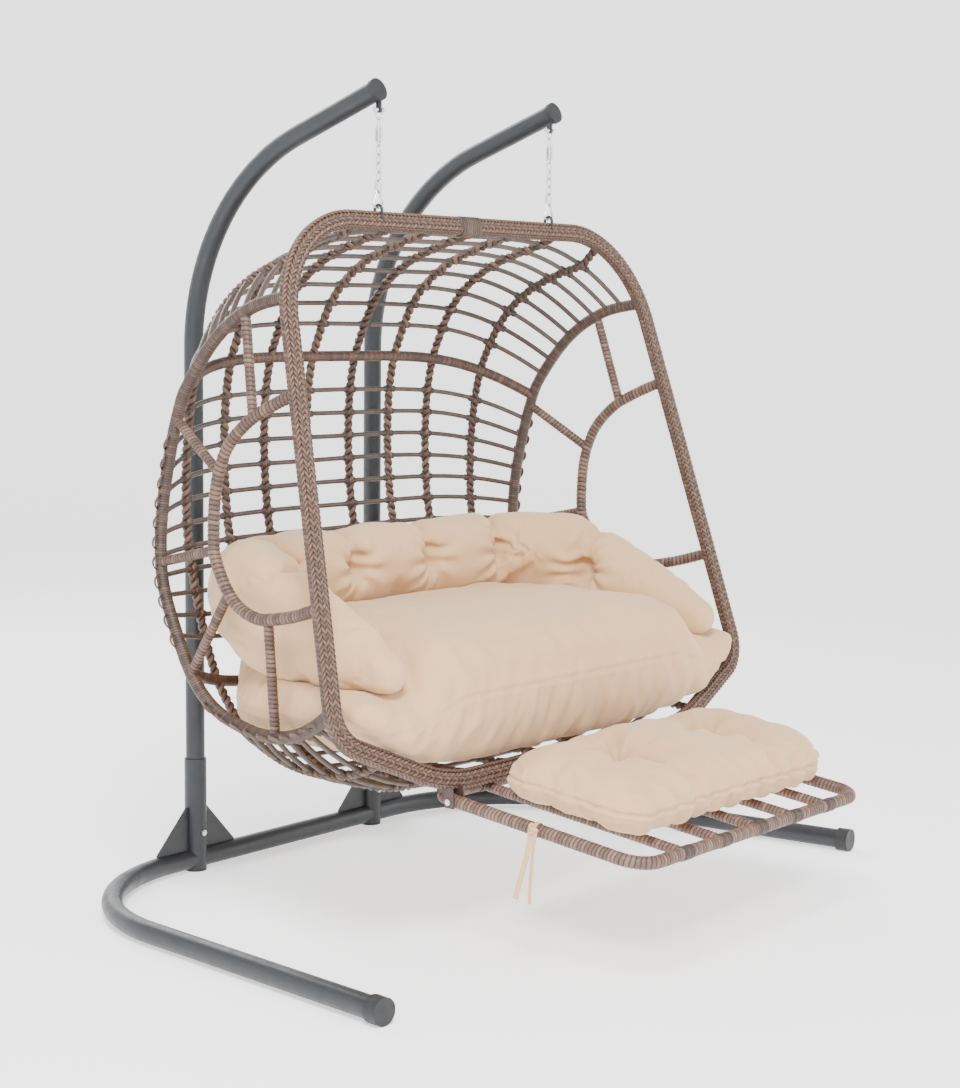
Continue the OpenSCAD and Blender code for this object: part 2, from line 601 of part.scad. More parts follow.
// Bolster: stands on the seat cushion across the back, then comes round along both sides, where
// it reaches lower and slopes down to the rim. Each point: sideways, back, how low, how high, and
// its share of the full thickness.
bolster_low = seat_top + 3;
bolster_half = [[0, 306, bolster_low, bolster_top, 1], [150, 304, bolster_low, bolster_top, 1],
  [300, 297, bolster_low, bolster_top, 1], [420, 278, bolster_low, bolster_top, 1],
  [505, 236, 676, bolster_top, 1], [556, 172, 634, bolster_top, 0.98],
  [584, 96, 604, bolster_top - 3, 0.97], [598, 10, 593, bolster_top - 32, 0.95],
  [603, -70, 591, bolster_top - 68, 0.9], [607, -140, 592, bolster_top - 104, 0.82],
  [611, -205, 594, bolster_top - 140, 0.72], [613, -262, 597, bolster_top - 176, 0.6],
  [614, -300, 602, bolster_top - 204, 0.45], [614, -318, 612, bolster_top - 224, 0.28]];
bolster_end = len(bolster_half) - 1;
bolster_ring = concat([for (i = [bolster_end:-1:1]) let (r = bolster_half[i])
  [-r[0], r[1], r[2], r[3], r[4]]], bolster_half);
bolster_line = spline(bolster_ring, 2);
bolster_last = len(bolster_line) - 1;
function bolster_middle(i) = let (r = bolster_line[i]) [r[0], r[1], (r[2] + r[3]) / 2];
function level(v) = [v[0], v[1], 0];
module bolster() color(cloth) in_basket() loft([for (i = [0:bolster_last]) let (
  t = level(bolster_middle(min(i + 1, bolster_last)) - bolster_middle(max(i - 1, 0))),
  r = bolster_line[i])
  super_ring(bolster_middle(i), unit(cross(t, [0, 0, 1])) * r[4] * bolster_t / 2,
    [0, 0, (r[2] - r[3]) / 2], 2.5, 24)]);

// ---- footrest ----
// Lies in its own sloping plane: x across, y back from the hinge, z out of the plane.
module in_footrest() placed() translate([0, -hinge_y, hinge_z]) rotate([foot_slope, 0, 0])
  children();
rear_y = 46;
foot_corners = [[-foot_half_w, -foot_reach], [foot_half_w, -foot_reach], [foot_half_w, rear_y],
  [-foot_half_w, rear_y]];
foot_radii = [60, 60, 30, 30];
foot_bolt_d = 8;
core_d = 24;
module foot_bolt_holes() rotate([0, 90, 0])
  cylinder(d = foot_bolt_d + 0.1, h = 3 * foot_half_w, center = true);
module footrest_frame() color(steel) in_footrest() difference() {
  rounded_loop(foot_corners, foot_radii) ring_section(core_d, 1.5);
  foot_bolt_holes();
}
module footrest_wrap() color(wicker) in_footrest() difference() {
  rounded_loop(foot_corners, foot_radii) difference() {
    circle(d = foot_d);
    circle(d = core_d);
  }
  foot_bolt_holes();
}
slat_d = 24;
slat_xs = [-300, -150, 0, 150, 300];
module footrest_slats() color(wicker) in_footrest() difference() {
  for (x = slat_xs) translate([x, 0, 0]) rotate([90, 0, 0]) translate([0, 0, -rear_y])
    cylinder(d = slat_d, h = foot_reach + rear_y);
  for (y = [rear_y, -foot_reach]) translate([0, y, 0]) rotate([0, 90, 0])
    cylinder(d = foot_d, h = 2 * foot_half_w, center = true);
}
// Pillow that lies on the slats: height, half width, front and back edges.
pillow_low = foot_d / 2 + 1;
pillow_levels = [[0, 392, -440, -80], [0.06, 410, -452, -68], [0.2, 424, -462, -60],
  [0.4, 430, -466, -57], [0.6, 427, -463, -63], [0.8, 412, -450, -84], [0.93, 380, -426, -122],
  [1, 330, -388, -165]];
module footrest_cushion() color(cloth) in_footrest() loft([for (l = pillow_levels)
  super_ring([0, (l[2] + l[3]) / 2, pillow_low + l[0] * foot_cushion_t], [l[1], 0, 0],
    [0, (l[3] - l[2]) / 2, 0], 5.5, 40)]);

// Channel over each side tube: two cheeks welded to the rim, and a stop plate between them.
cheek_t = 4;
cheek_gap = foot_d / 2 + 0.5;
stop_low = foot_d / 2 + 0.3;
module footrest_brackets() color(black) both_sides() placed()
  translate([foot_half_w, -hinge_y, hinge_z]) difference() {
    union() {
      for (s = [-1, 1]) translate([s * (cheek_gap + cheek_t / 2), 0, 0]) rotate([90, 0, 90])
        linear_extrude(cheek_t, center = true) polygon([[-14, -14], [10, -14], [15, 6],
          [15, 17.6], [34, 19.9], [38, 34], [-10, 34], [-14, 10]]);
      rotate([foot_slope, 0, 0]) translate([-cheek_gap - 0.5, 20, stop_low])
        cube([2 * cheek_gap + 1, 14, 4]);
    }
    rotate([0, 90, 0]) cylinder(d = foot_bolt_d, h = 80, center = true);
  }
module footrest_bolts() color(zinc) both_sides() placed()
  translate([foot_half_w, -hinge_y, hinge_z]) rotate([0, 90, 0]) {
    cylinder(d = foot_bolt_d, h = 2 * (cheek_gap + cheek_t) + 14, center = true);
    translate([0, 0, cheek_gap + cheek_t]) cylinder(d = 14, h = 4.5);
  }
module footrest_nuts() color(zinc) both_sides() placed()
  translate([foot_half_w - cheek_gap - cheek_t - 6, -hinge_y, hinge_z]) rotate([0, 90, 0])
    difference() {
      cylinder(d = 15, h = 6, $fn = 6);
      translate([0, 0, -1]) cylinder(d = foot_bolt_d, h = 8);
    }

// Ribbon tied round the left side tube: a knot on top and two tails that hang outside it.
tie_y = -235;
tail_length = 165;
tail_apart = 7.5;
tie_w = 13;
module cushion_tie() color(cloth) in_footrest() translate([-foot_half_w, tie_y, 0]) {
  rotate([90, 0, 0]) linear_extrude(tie_w, center = true) difference() {
    circle(d = foot_d + 2.6);
    circle(d = foot_d + 0.2);
  }
  for (s = [-1, 1]) translate([-foot_d / 2 - 1.2, s * tail_apart, 0]) rotate([s * 3, 2, 0])
    translate([0, 0, 5 - tail_length / 2]) cube([1.2, tie_w, tail_length], center = true);
}

// ---- one call for each sub-part ----
arm_left();
arm_right();
socket_left();
socket_right();
base_leg_left();
base_leg_right();
base_crossbar();
gussets_left();
gussets_right();
socket_feet();
leg_caps();
arm_caps();
socket_bolts();
socket_nuts();
hanging_tabs();
shackle_left();
shackle_pin_left();
spring_upper_yoke_left();
spring_left();
spring_lower_yoke_left();
chain_left();
quick_link_left();
delta_link_left();
shackle_right();
shackle_pin_right();
spring_upper_yoke_right();
spring_right();
spring_lower_yoke_right();
chain_right();
quick_link_right();
delta_link_right();
rim_frame();
rim_band();
basket_loops();
side_hoop_left();
side_hoop_right();
window_hoop_left();
window_hoop_right();
spokes_left();
spokes_right();
middle_tube();
lower_tube();
crown_rods();
back_rods();
lower_back_rods();
seat_rods();
wicker_ropes();
seat_cushion();
bolster();
footrest_brackets();
footrest_bolts();
footrest_nuts();
footrest_frame();
footrest_wrap();
footrest_slats();
footrest_cushion();
cushion_tie();
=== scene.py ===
import bpy, math
import numpy as np
from mathutils import Matrix, Vector
from mathutils.bvhtree import BVHTree


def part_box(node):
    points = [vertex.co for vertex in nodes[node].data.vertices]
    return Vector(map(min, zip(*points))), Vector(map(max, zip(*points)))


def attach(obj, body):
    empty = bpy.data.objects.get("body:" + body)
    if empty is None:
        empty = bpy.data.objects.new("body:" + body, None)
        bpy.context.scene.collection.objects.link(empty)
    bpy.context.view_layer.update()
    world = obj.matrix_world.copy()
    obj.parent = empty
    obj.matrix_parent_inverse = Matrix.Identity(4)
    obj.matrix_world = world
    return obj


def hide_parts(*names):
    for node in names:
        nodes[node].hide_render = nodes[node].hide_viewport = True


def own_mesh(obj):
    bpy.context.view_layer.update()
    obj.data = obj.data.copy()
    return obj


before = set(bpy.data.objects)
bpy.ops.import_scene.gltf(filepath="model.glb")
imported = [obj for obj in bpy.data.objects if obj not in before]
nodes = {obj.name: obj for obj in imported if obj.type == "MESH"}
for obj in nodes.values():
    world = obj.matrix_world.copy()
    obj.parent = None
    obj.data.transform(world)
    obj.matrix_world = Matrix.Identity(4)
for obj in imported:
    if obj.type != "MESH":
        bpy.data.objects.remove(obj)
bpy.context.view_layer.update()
rng = np.random.default_rng(7)


def middle(node):
    lo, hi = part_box(node)
    return (Vector(lo) + Vector(hi)) / 2


STAND_Y = middle("socket_left").y
HANG_Y = middle("shackle_pin_left").y

# ---------------------------------------------------------------- camera
az, el, roll = math.radians(-51.10), math.radians(6.01), math.radians(0.55)
CAMERA_PLACE = (-4.0575, -3.9287 + STAND_Y, 1.4093)
back = Vector((math.sin(az) * math.cos(el), -math.cos(az) * math.cos(el), math.sin(el)))
level_right = Vector((math.cos(az), math.sin(az), 0))
level_up = back.cross(level_right)
right = level_right * math.cos(roll) + level_up * math.sin(roll)
up = level_up * math.cos(roll) - level_right * math.sin(roll)
cam_data = bpy.data.cameras.new("camera")
cam_data.lens = 70.81
cam_data.sensor_width = 36
cam_data.clip_end = 100
cam = bpy.data.objects.new("camera", cam_data)
bpy.context.scene.collection.objects.link(cam)
turn = Matrix((right, up, back)).transposed().to_4x4()
cam.matrix_world = Matrix.Translation(CAMERA_PLACE) @ turn
bpy.context.scene.camera = cam


# ---------------------------------------------------------------- curves and sweeps
def spline(points, steps):
    """A smooth line through the points, with a number of steps between each two."""
    p = np.array(points, float)
    n = len(p)
    out = []
    for i in range(n - 1):
        a, b, c, d = p[max(i - 1, 0)], p[i], p[i + 1], p[min(i + 2, n - 1)]
        for k in range(steps):
            t = k / steps
            out.append(0.5 * (2 * b + (c - a) * t + (2 * a - 5 * b + 4 * c - d) * t * t
                              + (3 * b - a - 3 * c + d) * t ** 3))
    out.append(p[-1])
    return np.array(out)


def lengths(p):
    """How far along the path each of its points is."""
    return np.concatenate([[0], np.cumsum(np.linalg.norm(np.diff(p, axis=0), axis=1))])


def resample(p, step, closed=False):
    """The same path with evenly spaced points."""
    if closed:
        p = np.vstack([p, p[:1]])
    s = lengths(p)
    n = max(2, int(round(s[-1] / step)))
    t = np.linspace(0, s[-1], n + 1)
    q = np.stack([np.interp(t, s, p[:, k]) for k in range(3)], 1)
    return q[:-1] if closed else q


def unit(v):
    return v / np.maximum(np.linalg.norm(v, axis=-1, keepdims=True), 1e-12)


def tangents(p, closed=False):
    if closed:
        return unit(np.roll(p, -1, 0) - np.roll(p, 1, 0))
    return unit(np.gradient(p, axis=0))


def frames(p, away, closed=False):
    """Side and up along a path; up leans towards the given direction."""
    t = tangents(p, closed)
    a = np.broadcast_to(np.array(away, float), t.shape)
    u = unit(a - (a * t).sum(1, keepdims=True) * t)
    return np.cross(u, t), u


def section(p, side, u, sides, radius, height=1.0):
    """Rings round a path; radius is one number, or one for each point of each ring."""
    th = np.linspace(0, 2 * np.pi, sides, endpoint=False)
    r = np.broadcast_to(radius, (len(p), sides))
    return (p[:, None] + r[..., None] * (np.cos(th)[None, :, None] * side[:, None]
                                         + height * np.sin(th)[None, :, None] * u[:, None]))


def grid_mesh(name, rings, closed=False, proud=1.0, tone=0.5):
    """Mesh through rings of equal length. The cane materials read proud, which is 0 in a
    groove and 1 on top of a turn and which they turn into painted shade where it is low, and
    tone, which picks the strand's colour."""
    n, m, _ = rings.shape
    ii, kk = np.meshgrid(np.arange(n if closed else n - 1), np.arange(m), indexing="ij")
    corners = [ii * m + kk, ii * m + (kk + 1) % m, ((ii + 1) % n) * m + (kk + 1) % m,
               ((ii + 1) % n) * m + kk]
    faces = np.stack(corners, -1).reshape(-1, 4).tolist()
    if not closed:
        faces.append(list(range(m))[::-1])
        faces.append(list(range((n - 1) * m, n * m)))
    mesh = bpy.data.meshes.new(name)
    mesh.from_pydata(rings.reshape(-1, 3).tolist(), [], faces)
    mesh.shade_smooth()
    for key, value in (("proud", proud), ("tone", tone)):
        layer = mesh.attributes.new(key, "FLOAT", "POINT")
        layer.data.foreach_set("value", np.array(np.broadcast_to(value, (n, m)),
                                                 np.float32).reshape(-1))
    mesh.update()
    obj = bpy.data.objects.new(name, mesh)
    bpy.context.scene.collection.objects.link(obj)
    return obj


def tube(name, p, radius, away, closed=False, tone=0.5):
    """Plain round tube."""
    side, u = frames(p, away, closed)
    return grid_mesh(name, section(p, side, u, 10, radius), closed, 1.0, tone)


def flat_band(name, path, away, width, thick, sides, corners=(1, 1), proud=1.0, tone=0.5):
    """A flat ribbon along a path, its width across the given direction. Corners are the
    powers that square off its two half sections; 1 keeps an ellipse."""
    side, u = frames(path, away)
    th = np.linspace(0, 2 * np.pi, sides, endpoint=False)
    c, s = np.cos(th), np.sin(th)
    c, s = np.sign(c) * np.abs(c) ** corners[0], np.sign(s) * np.abs(s) ** corners[1]
    rings = (path[:, None] + width / 2 * c[None, :, None] * side[:, None]
             + thick / 2 * s[None, :, None] * u[:, None])
    return grid_mesh(name, rings, False, proud, tone)


WOBBLE = 0.25    # how unevenly the turns are wound, as a share of the groove's depth


def wrapped(name, path, radius, away, pitch, depth, turns, per, sides, closed=False, seed=0):
    """A bar wound with cane: each turn stands proud and a groove runs between turns. The
    radius may be a function of the angle round the bar. Pitch is from turn to turn along the
    bar, turns is how far the winding goes round in one loop of the section, and per is how
    many rings of the mesh each turn gets."""
    p = resample(np.array(path), pitch / per, closed)
    n = len(p)
    side, u = frames(p, away, closed)
    th = np.linspace(0, 2 * np.pi, sides, endpoint=False)
    total = round(n / per) if closed else n / per
    phase = (np.arange(n) / n * total)[:, None] + turns * th[None] / (2 * np.pi)
    table = np.random.default_rng(seed).random(4096)
    ident = np.floor(phase).astype(int)
    tone = table[ident % len(table)]
    jitter = (table[(ident * 7 + 11) % len(table)] - 0.5) * WOBBLE * depth
    # proud is 1 on the crown of each turn and 0 in the groove; the cane materials paint shade
    # into the grooves from it.
    proud = 1 - np.abs(2 * (phase - np.floor(phase)) - 1) ** 3
    outline = radius(th) if callable(radius) else np.full_like(th, radius)
    r = outline[None] - depth + depth * proud + jitter * proud
    return grid_mesh(name, section(p, side, u, sides, r), closed, proud, tone)


STRAND_FLATTEN = 0.92


def twist(name, path, away, turns, spread, strand_r, sides, step, closed=False, phase0=0.0,
          hand=1, seed=0):
    """Two strands laid round each other along a path; turns is how often each goes round."""
    p = resample(np.array(path), step, closed)
    n = len(p)
    side, u = frames(p, away, closed)
    along = np.arange(n) / (n if closed else n - 1)
    th = np.linspace(0, 2 * np.pi, sides, endpoint=False)
    parts = []
    for k in range(2):
        ang = hand * 2 * np.pi * turns * along + 2 * np.pi * k / 2 + phase0
        c = p + spread * (np.cos(ang)[:, None] * u + np.sin(ang)[:, None] * side)
        ct = tangents(c, closed)
        outward = unit(c - p)
        cu = unit(outward - (outward * ct).sum(1, keepdims=True) * ct)
        rings = section(c, np.cross(cu, ct), cu, sides, strand_r, STRAND_FLATTEN)
        # proud is lowest on each strand's inner side, where it lies on the other strand, so the
        # cane material paints shade there.
        proud = 0.25 + 0.75 * (0.5 + 0.5 * np.sin(th)[None])
        parts.append(grid_mesh(f"{name}_{k}", rings, closed, proud,
                               0.5 + 0.35 * math.sin(seed * 2.3 + k * 2.1)))
    return parts


def join(name, objs):
    """One object from many."""
    keep = objs[0]
    with bpy.context.temp_override(active_object=keep, selected_editable_objects=objs,
                                   selected_objects=objs):
        bpy.ops.object.join()
    keep.name = name
    keep.data.name = name
    return keep


# ---------------------------------------------------------------- materials
def srgb(*levels):
    """A screen colour, 0 to 255, as the linear one that the shaders take."""
    shares = [level / 255 for level in levels]
    return (*(c / 12.92 if c <= 0.04045 else ((c + 0.055) / 1.055) ** 2.4 for c in shares), 1)


def grey(v):
    return (v, v, v, 1)


class Mat:
    """A material with its node tree t and its principled shader b."""
    def __init__(self, name):
        self.m = bpy.data.materials.new(name)
        self.m.use_nodes = True
        self.t = self.m.node_tree
        self.b = self.t.nodes["Principled BSDF"]

    def node(self, kind, **values):
        """A new node; each value goes to its input of that name, or else to its setting."""
        n = self.t.nodes.new(kind)
        for key, v in values.items():
            if key in n.inputs:
                n.inputs[key].default_value = v
            else:
                setattr(n, key, v)
        return n

    def link(self, a, b):
        self.t.links.new(a, b)

    def set(self, **values):
        """Sets inputs of the shader: an underscore stands for a space in the input's name."""
        for key, v in values.items():
            self.b.inputs[key.replace("_", " ")].default_value = v

    def ramp(self, src, stops):
        r = self.node("ShaderNodeValToRGB")
        while len(r.color_ramp.elements) < len(stops):
            r.color_ramp.elements.new(0.5)
        for e, (pos, col) in zip(r.color_ramp.elements, stops):
            e.position = pos
            e.color = col
        self.link(src, r.inputs[0])
        return r.outputs[0]

    def coords(self):
        return self.node("ShaderNodeTexCoord").outputs["Object"]

    def noise(self, scale, detail=3, rough=0.5):
        n = self.node("ShaderNodeTexNoise", Scale=scale, Detail=detail, Roughness=rough)
        self.link(self.coords(), n.inputs["Vector"])
        return n.outputs["Fac"]

    def feed(self, *pairs):
        """Each value is a socket to link or a plain value to set."""
        for sock, v in pairs:
            if isinstance(v, bpy.types.NodeSocket):
                self.link(v, sock)
            else:
                sock.default_value = v

    def mix(self, fac, a, b):
        n = self.node("ShaderNodeMix", data_type="RGBA")
        self.feed((n.inputs[0], fac), (n.inputs[6], a), (n.inputs[7], b))
        return n.outputs[2]

    def math(self, op, a, b):
        n = self.node("ShaderNodeMath", operation=op)
        self.feed((n.inputs[0], a), (n.inputs[1], b))
        return n.outputs[0]

    def bump(self, height, strength, distance):
        """Adds a bump on top of those that are already there."""
        n = self.node("ShaderNodeBump", Strength=strength, Distance=distance)
        self.link(height, n.inputs["Height"])
        if self.b.inputs["Normal"].is_linked:
            self.link(self.b.inputs["Normal"].links[0].from_socket, n.inputs["Normal"])
        self.link(n.outputs[0], self.b.inputs["Normal"])

    def attribute(self, name):
        return self.node("ShaderNodeAttribute", attribute_name=name).outputs["Fac"]


def scaled(colour, share):
    """The colour times a share, no brighter than white."""
    return tuple(min(1, c * share) for c in colour[:3]) + (1,)


def powder_coat(name, colour, rough, fleck=1.0):
    m = Mat(name)
    m.link(m.mix(m.noise(9, 4, 0.6), scaled(colour, 0.86), scaled(colour, 1.12)),
           m.b.inputs["Base Color"])
    m.link(m.ramp(m.noise(40, 3), [(0.3, grey(rough - 0.06)), (0.7, grey(rough + 0.08))]),
           m.b.inputs["Roughness"])
    m.bump(m.noise(1400, 2, 0.6), 0.10 * fleck, 0.0003)
    m.set(Specular_IOR_Level=0.5)
    return m.m


def cane(name, dark, mid, light, rough, fibre=900, groove_shade=1.0):
    """Resin cane: tone from the strand, painted shade in the grooves, fine lines along it."""
    m = Mat(name)
    tone = m.ramp(m.attribute("tone"), [(0.0, mid), (0.45, mid), (0.8, light), (1.0, light)])
    mottle = m.noise(60, 4, 0.6)
    c = m.mix(m.math("MULTIPLY", mottle, 0.85), tone, dark)
    fine = m.noise(fibre, 3, 0.7)
    c = m.mix(m.ramp(fine, [(0.42, grey(0)), (0.62, grey(0.5))]), c, light)
    # Painted shade: the colour darkens towards a third of the dark colour where proud is low, in
    # the grooves between turns and on the strands' inner sides.
    groove = m.ramp(m.attribute("proud"), [(0.0, grey(1)), (0.42, grey(0.75)), (0.85, grey(0))])
    c = m.mix(m.math("MULTIPLY", groove, groove_shade), c, scaled(dark, 0.35))
    m.link(c, m.b.inputs["Base Color"])
    m.link(m.ramp(mottle, [(0.3, grey(rough - 0.08)), (0.7, grey(rough + 0.12))]),
           m.b.inputs["Roughness"])
    m.bump(fine, 0.35, 0.0005)
    return m.m


slate = powder_coat("slate_coat", srgb(29, 32, 36), 0.40)
black_coat = powder_coat("black_coat", srgb(30, 31, 34), 0.4)
black_cap = powder_coat("black_plastic_cap", srgb(24, 25, 27), 0.55, 2.0)
brown_coat = powder_coat("brown_coat", srgb(64, 48, 42), 0.5)
brown_core = powder_coat("brown_core", srgb(58, 44, 38), 0.6)


def zinc_plate():
    m = Mat("zinc_plate")
    n = m.noise(120, 3, 0.6)
    m.link(m.mix(n, (0.50, 0.51, 0.53, 1), (0.80, 0.80, 0.81, 1)), m.b.inputs["Base Color"])
    m.set(Metallic=1.0)
    m.link(m.ramp(n, [(0.3, grey(0.22)), (0.7, grey(0.38))]), m.b.inputs["Roughness"])
    m.bump(m.noise(900, 2), 0.08, 0.0002)
    return m.m


zinc = zinc_plate()
# The darkest cane colour: the real darker mottle and, scaled down, the painted shade in the
# grooves.
CANE_SHADE = srgb(24, 15, 12)
cane_light = cane("cane_light", CANE_SHADE, srgb(78, 54, 43), srgb(134, 102, 84), 0.5)
cane_mid = cane("cane_mid", CANE_SHADE, srgb(66, 45, 36), srgb(122, 90, 73), 0.5)
cane_dark = cane("cane_dark", srgb(27, 17, 14), srgb(58, 40, 33), srgb(98, 73, 60), 0.5)
cane_rope = cane("cane_rope", srgb(26, 16, 13), srgb(60, 41, 33), srgb(118, 89, 73), 0.5, 700)
cane_foot = cane("cane_foot", srgb(42, 26, 21), srgb(94, 66, 56), srgb(148, 115, 100), 0.48)
rod_cane = cane("rod_cane", srgb(38, 28, 24), srgb(66, 52, 46), srgb(92, 75, 67), 0.42, 500, 0.4)
# The knots are real wraps where each rope loops round a rod; their colour, darker than the rods',
# is painted shade beside the ropes.
knot_cane = cane("knot_cane", srgb(34, 25, 23), srgb(62, 46, 41), srgb(84, 66, 60), 0.5)


def fabric():
    """Plain weave: three crossed sets of fine threads under a soft, uneven colour."""
    m = Mat("cream_cloth")
    big = m.noise(3.5, 3, 0.5)
    c = m.mix(big, srgb(199, 160, 116), srgb(211, 175, 133))
    fine = m.noise(260, 2, 0.6)
    c = m.mix(m.math("MULTIPLY", fine, 0.16), c, srgb(178, 140, 98))
    m.link(c, m.b.inputs["Base Color"])
    m.set(Roughness=0.86, Sheen_Weight=0.25, Sheen_Roughness=0.5, Specular_IOR_Level=0.25)
    tilted = m.node("ShaderNodeMapping", Rotation=(0.5, 0.4, 0.2))
    m.link(m.coords(), tilted.inputs["Vector"])
    threads = []
    for axis in "XYZ":
        w = m.node("ShaderNodeTexWave", Scale=260.0, Distortion=0.6, Detail=1,
                   bands_direction=axis)
        m.link(tilted.outputs[0], w.inputs["Vector"])
        threads.append(w.outputs["Fac"])
    weave = m.math("MULTIPLY", m.math("ADD", *threads[:2]), m.math("ADD", threads[2], 0.5))
    m.bump(weave, 0.12, 0.0004)
    m.bump(m.noise(30, 4, 0.55), 0.12, 0.004)
    return m.m


cream = fabric()


def dress(obj, material):
    obj.data.materials.clear()
    obj.data.materials.append(material)


def place(obj, body, slot, material, *replaced):
    """Gives a piece its material and its body, and hides the CAD nodes that it replaces. The slot
    is not used.
    """
    dress(obj, material)
    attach(obj, body)
    if replaced:
        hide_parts(*replaced)


# The CAD nodes' materials, by how their names start; the first that fits is taken.
LOOKS = (
    (("arm_caps", "leg_caps", "socket_feet"), black_cap),
    (("basket_loops",), black_coat),
    (("footrest_brackets",), brown_coat),
    (("rim_frame", "footrest_frame"), brown_core),
    (("shackle", "spring", "chain", "quick", "delta", "socket_bolts", "socket_nuts",
      "footrest_bolts", "footrest_nuts"), zinc),
    (("arm_", "socket_", "base_", "gussets", "hanging_tabs"), slate),
    (("seat_cushion", "bolster", "footrest_cushion", "cushion_tie"), cream),
    (("",), cane_mid))
for name, node in nodes.items():
    look = next(material for starts, material in LOOKS if name.startswith(starts))
    for slot in node.material_slots:
        slot.material = look
    if not node.material_slots:
        node.data.materials.append(look)

# ---------------------------------------------------------------- tie ribbon
HINGE_Y, HINGE_Z, SLOPE = STAND_Y - 0.955, 0.343, math.radians(7)


def foot(p):
    """From the footrest's own frame to the row: across, back from the hinge, out of its plane."""
    p = np.atleast_2d(np.array(p, float))
    c, s = math.cos(SLOPE), math.sin(SLOPE)
    return np.stack([p[:, 0], HINGE_Y + p[:, 1] * c - p[:, 2] * s,
                     HINGE_Z + p[:, 1] * s + p[:, 2] * c], 1)


TIE_X, TIE_Y = -0.455, -0.235    # where the ribbon holds the frame's side bar
TAIL, TAIL_WIDTH, TAIL_OUT, RIBBON = 0.165, 0.013, 0.0165, 0.0012
CLOTH_EDGE = (0.5, 0.8)
tails = []
for k, (dy, lean, curl) in enumerate(((-0.0075, -0.008, 0.0035), (0.0075, 0.010, -0.004))):
    t = np.linspace(0, 1, 40)
    path = foot(np.column_stack([
        TIE_X - TAIL_OUT - 0.005 * t + 0.0022 * np.sin(5.0 * t + k),
        TIE_Y + dy + lean * t + curl * np.sin(4.2 * t),
        0.004 - TAIL * 0.985 * t]))
    tail = flat_band("tie_tail_%d" % (k + 1), path, (-1, 0.25 - 0.5 * k, 0), TAIL_WIDTH, RIBBON,
                     12, CLOTH_EDGE)
    tails.append((tail, path))
t = np.linspace(0, 2 * np.pi, 49)
loop_path = foot(np.column_stack([TIE_X + 0.0163 * np.sin(t), np.full(len(t), TIE_Y),
                                  0.0163 * np.cos(t)]))
hold = flat_band("tie_loop", loop_path[:-1], (1, 0, 0), 0.011, RIBBON, 12, CLOTH_EDGE)
t = np.linspace(0, 2 * np.pi, 60, endpoint=False)
knot_path = foot(np.column_stack([
    TIE_X - 0.0170 + 0.0030 * np.sin(3 * t),
    TIE_Y + 0.0055 * (np.cos(t) - 1.1 * np.cos(2 * t)),
    0.0050 + 0.0050 * (np.sin(t) + 1.1 * np.sin(2 * t))]))
knot = tube("tie_knot", knot_path, 0.0034, (1, 0.2, 0.1), True)
place(join("tie_knot_and_loop", [hold, knot]), "footrest", "cloth", cream)
for tail, path in tails:
    place(tail, "footrest", "cloth", cream, "cushion_tie")

# ---------------------------------------------------------------- shock springs
# Each coil is wound from COIL_LOW up to COIL_HIGH round the spring's place and goes with the
# hanger on its side.
COIL_LOW, COIL_HIGH, COIL_WIRE, COIL_R, COIL_TURNS = 1.812, 1.844, 0.0025, 0.00775, 7
for side in ("left", "right"):
    x = middle("spring_" + side).x
    t = np.linspace(0, 1, 40 * COIL_TURNS + 1)
    path = np.column_stack([x + COIL_R * np.cos(2 * np.pi * COIL_TURNS * t),
                            HANG_Y + COIL_R * np.sin(2 * np.pi * COIL_TURNS * t),
                            COIL_LOW + COIL_WIRE / 2 + (COIL_HIGH - COIL_LOW - COIL_WIRE) * t])
    coil = tube("spring_coil_" + side, path, COIL_WIRE / 2, (0, 0, 1))
    place(coil, side + "_hanger", "zinc", zinc, "spring_" + side)
    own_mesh(coil)

# ---------------------------------------------------------------- basket lines
# Lines of the basket in metres, across, back from the chains' plane and up from the floor.
BASE = np.array([0, HANG_Y, 0.0])
LEAN = math.radians(15)    # how far the rim leans back
middle_points = np.array([[0, 15, 1632], [0, 60, 1617], [0, 120, 1600], [0, 180, 1581],
    [0, 245, 1556], [0, 300, 1523], [0, 347, 1483], [0, 388, 1428], [0, 415, 1371],
    [0, 438, 1314], [0, 452, 1252], [0, 459, 1190], [0, 462, 1106], [0, 460, 1046],
    [0, 455, 973], [0, 446, 902], [0, 432, 840], [0, 415, 770], [0, 395, 680], [0, 366, 580],
    [0, 316, 480], [0, 240, 395], [0, 150, 340], [0, 50, 312], [0, -60, 306], [0, -150, 322],
    [0, -220, 352], [0, -272, 386], [0, -330, 395]]) / 1000
hoop_points = np.array([[670, -38, 1452], [666, 72, 1428], [665, 183, 1361], [665, 278, 1250],
    [665, 315, 1170], [665, 343, 1070], [665, 363, 970], [665, 371, 870], [665, 361, 780],
    [665, 321, 680], [665, 263, 575], [665, 188, 510], [668, 83, 478], [680, -7, 475],
    [702, -97, 492], [734, -187, 528], [768, -266, 572]]) / 1000
window_points = np.array([[697, -94, 1243], [698, -28, 1217], [698, 46, 1180],
    [700, 103, 1130], [700, 133, 1080], [700, 153, 1009], [700, 158, 900], [702, 145, 852],
    [706, 107, 795], [712, 61, 761], [720, 0, 745], [728, -58, 750], [740, -134, 765],
    [755, -212, 788]]) / 1000
spoke_ends = np.array([[[666, 90, 1420], [699, 34, 1187]], [[665, 314, 1172], [700, 141, 1060]],
    [[665, 368, 838], [701, 153, 885]], [[665, 270, 585], [706, 103, 792]],
    [[724, -37, 747], [683, -19, 476]]]) / 1000
HOOP_X = 0.665
STEPS = 36    # places for rods, evenly spaced from the rim's top bar round to its bottom bar
RIM_TOP, RIM_LOW = 1.630, 0.382
TOP_HALF, TOP_ROUND, LOW_HALF, LOW_ROUND = 0.655, 0.264, 0.470, 0.44
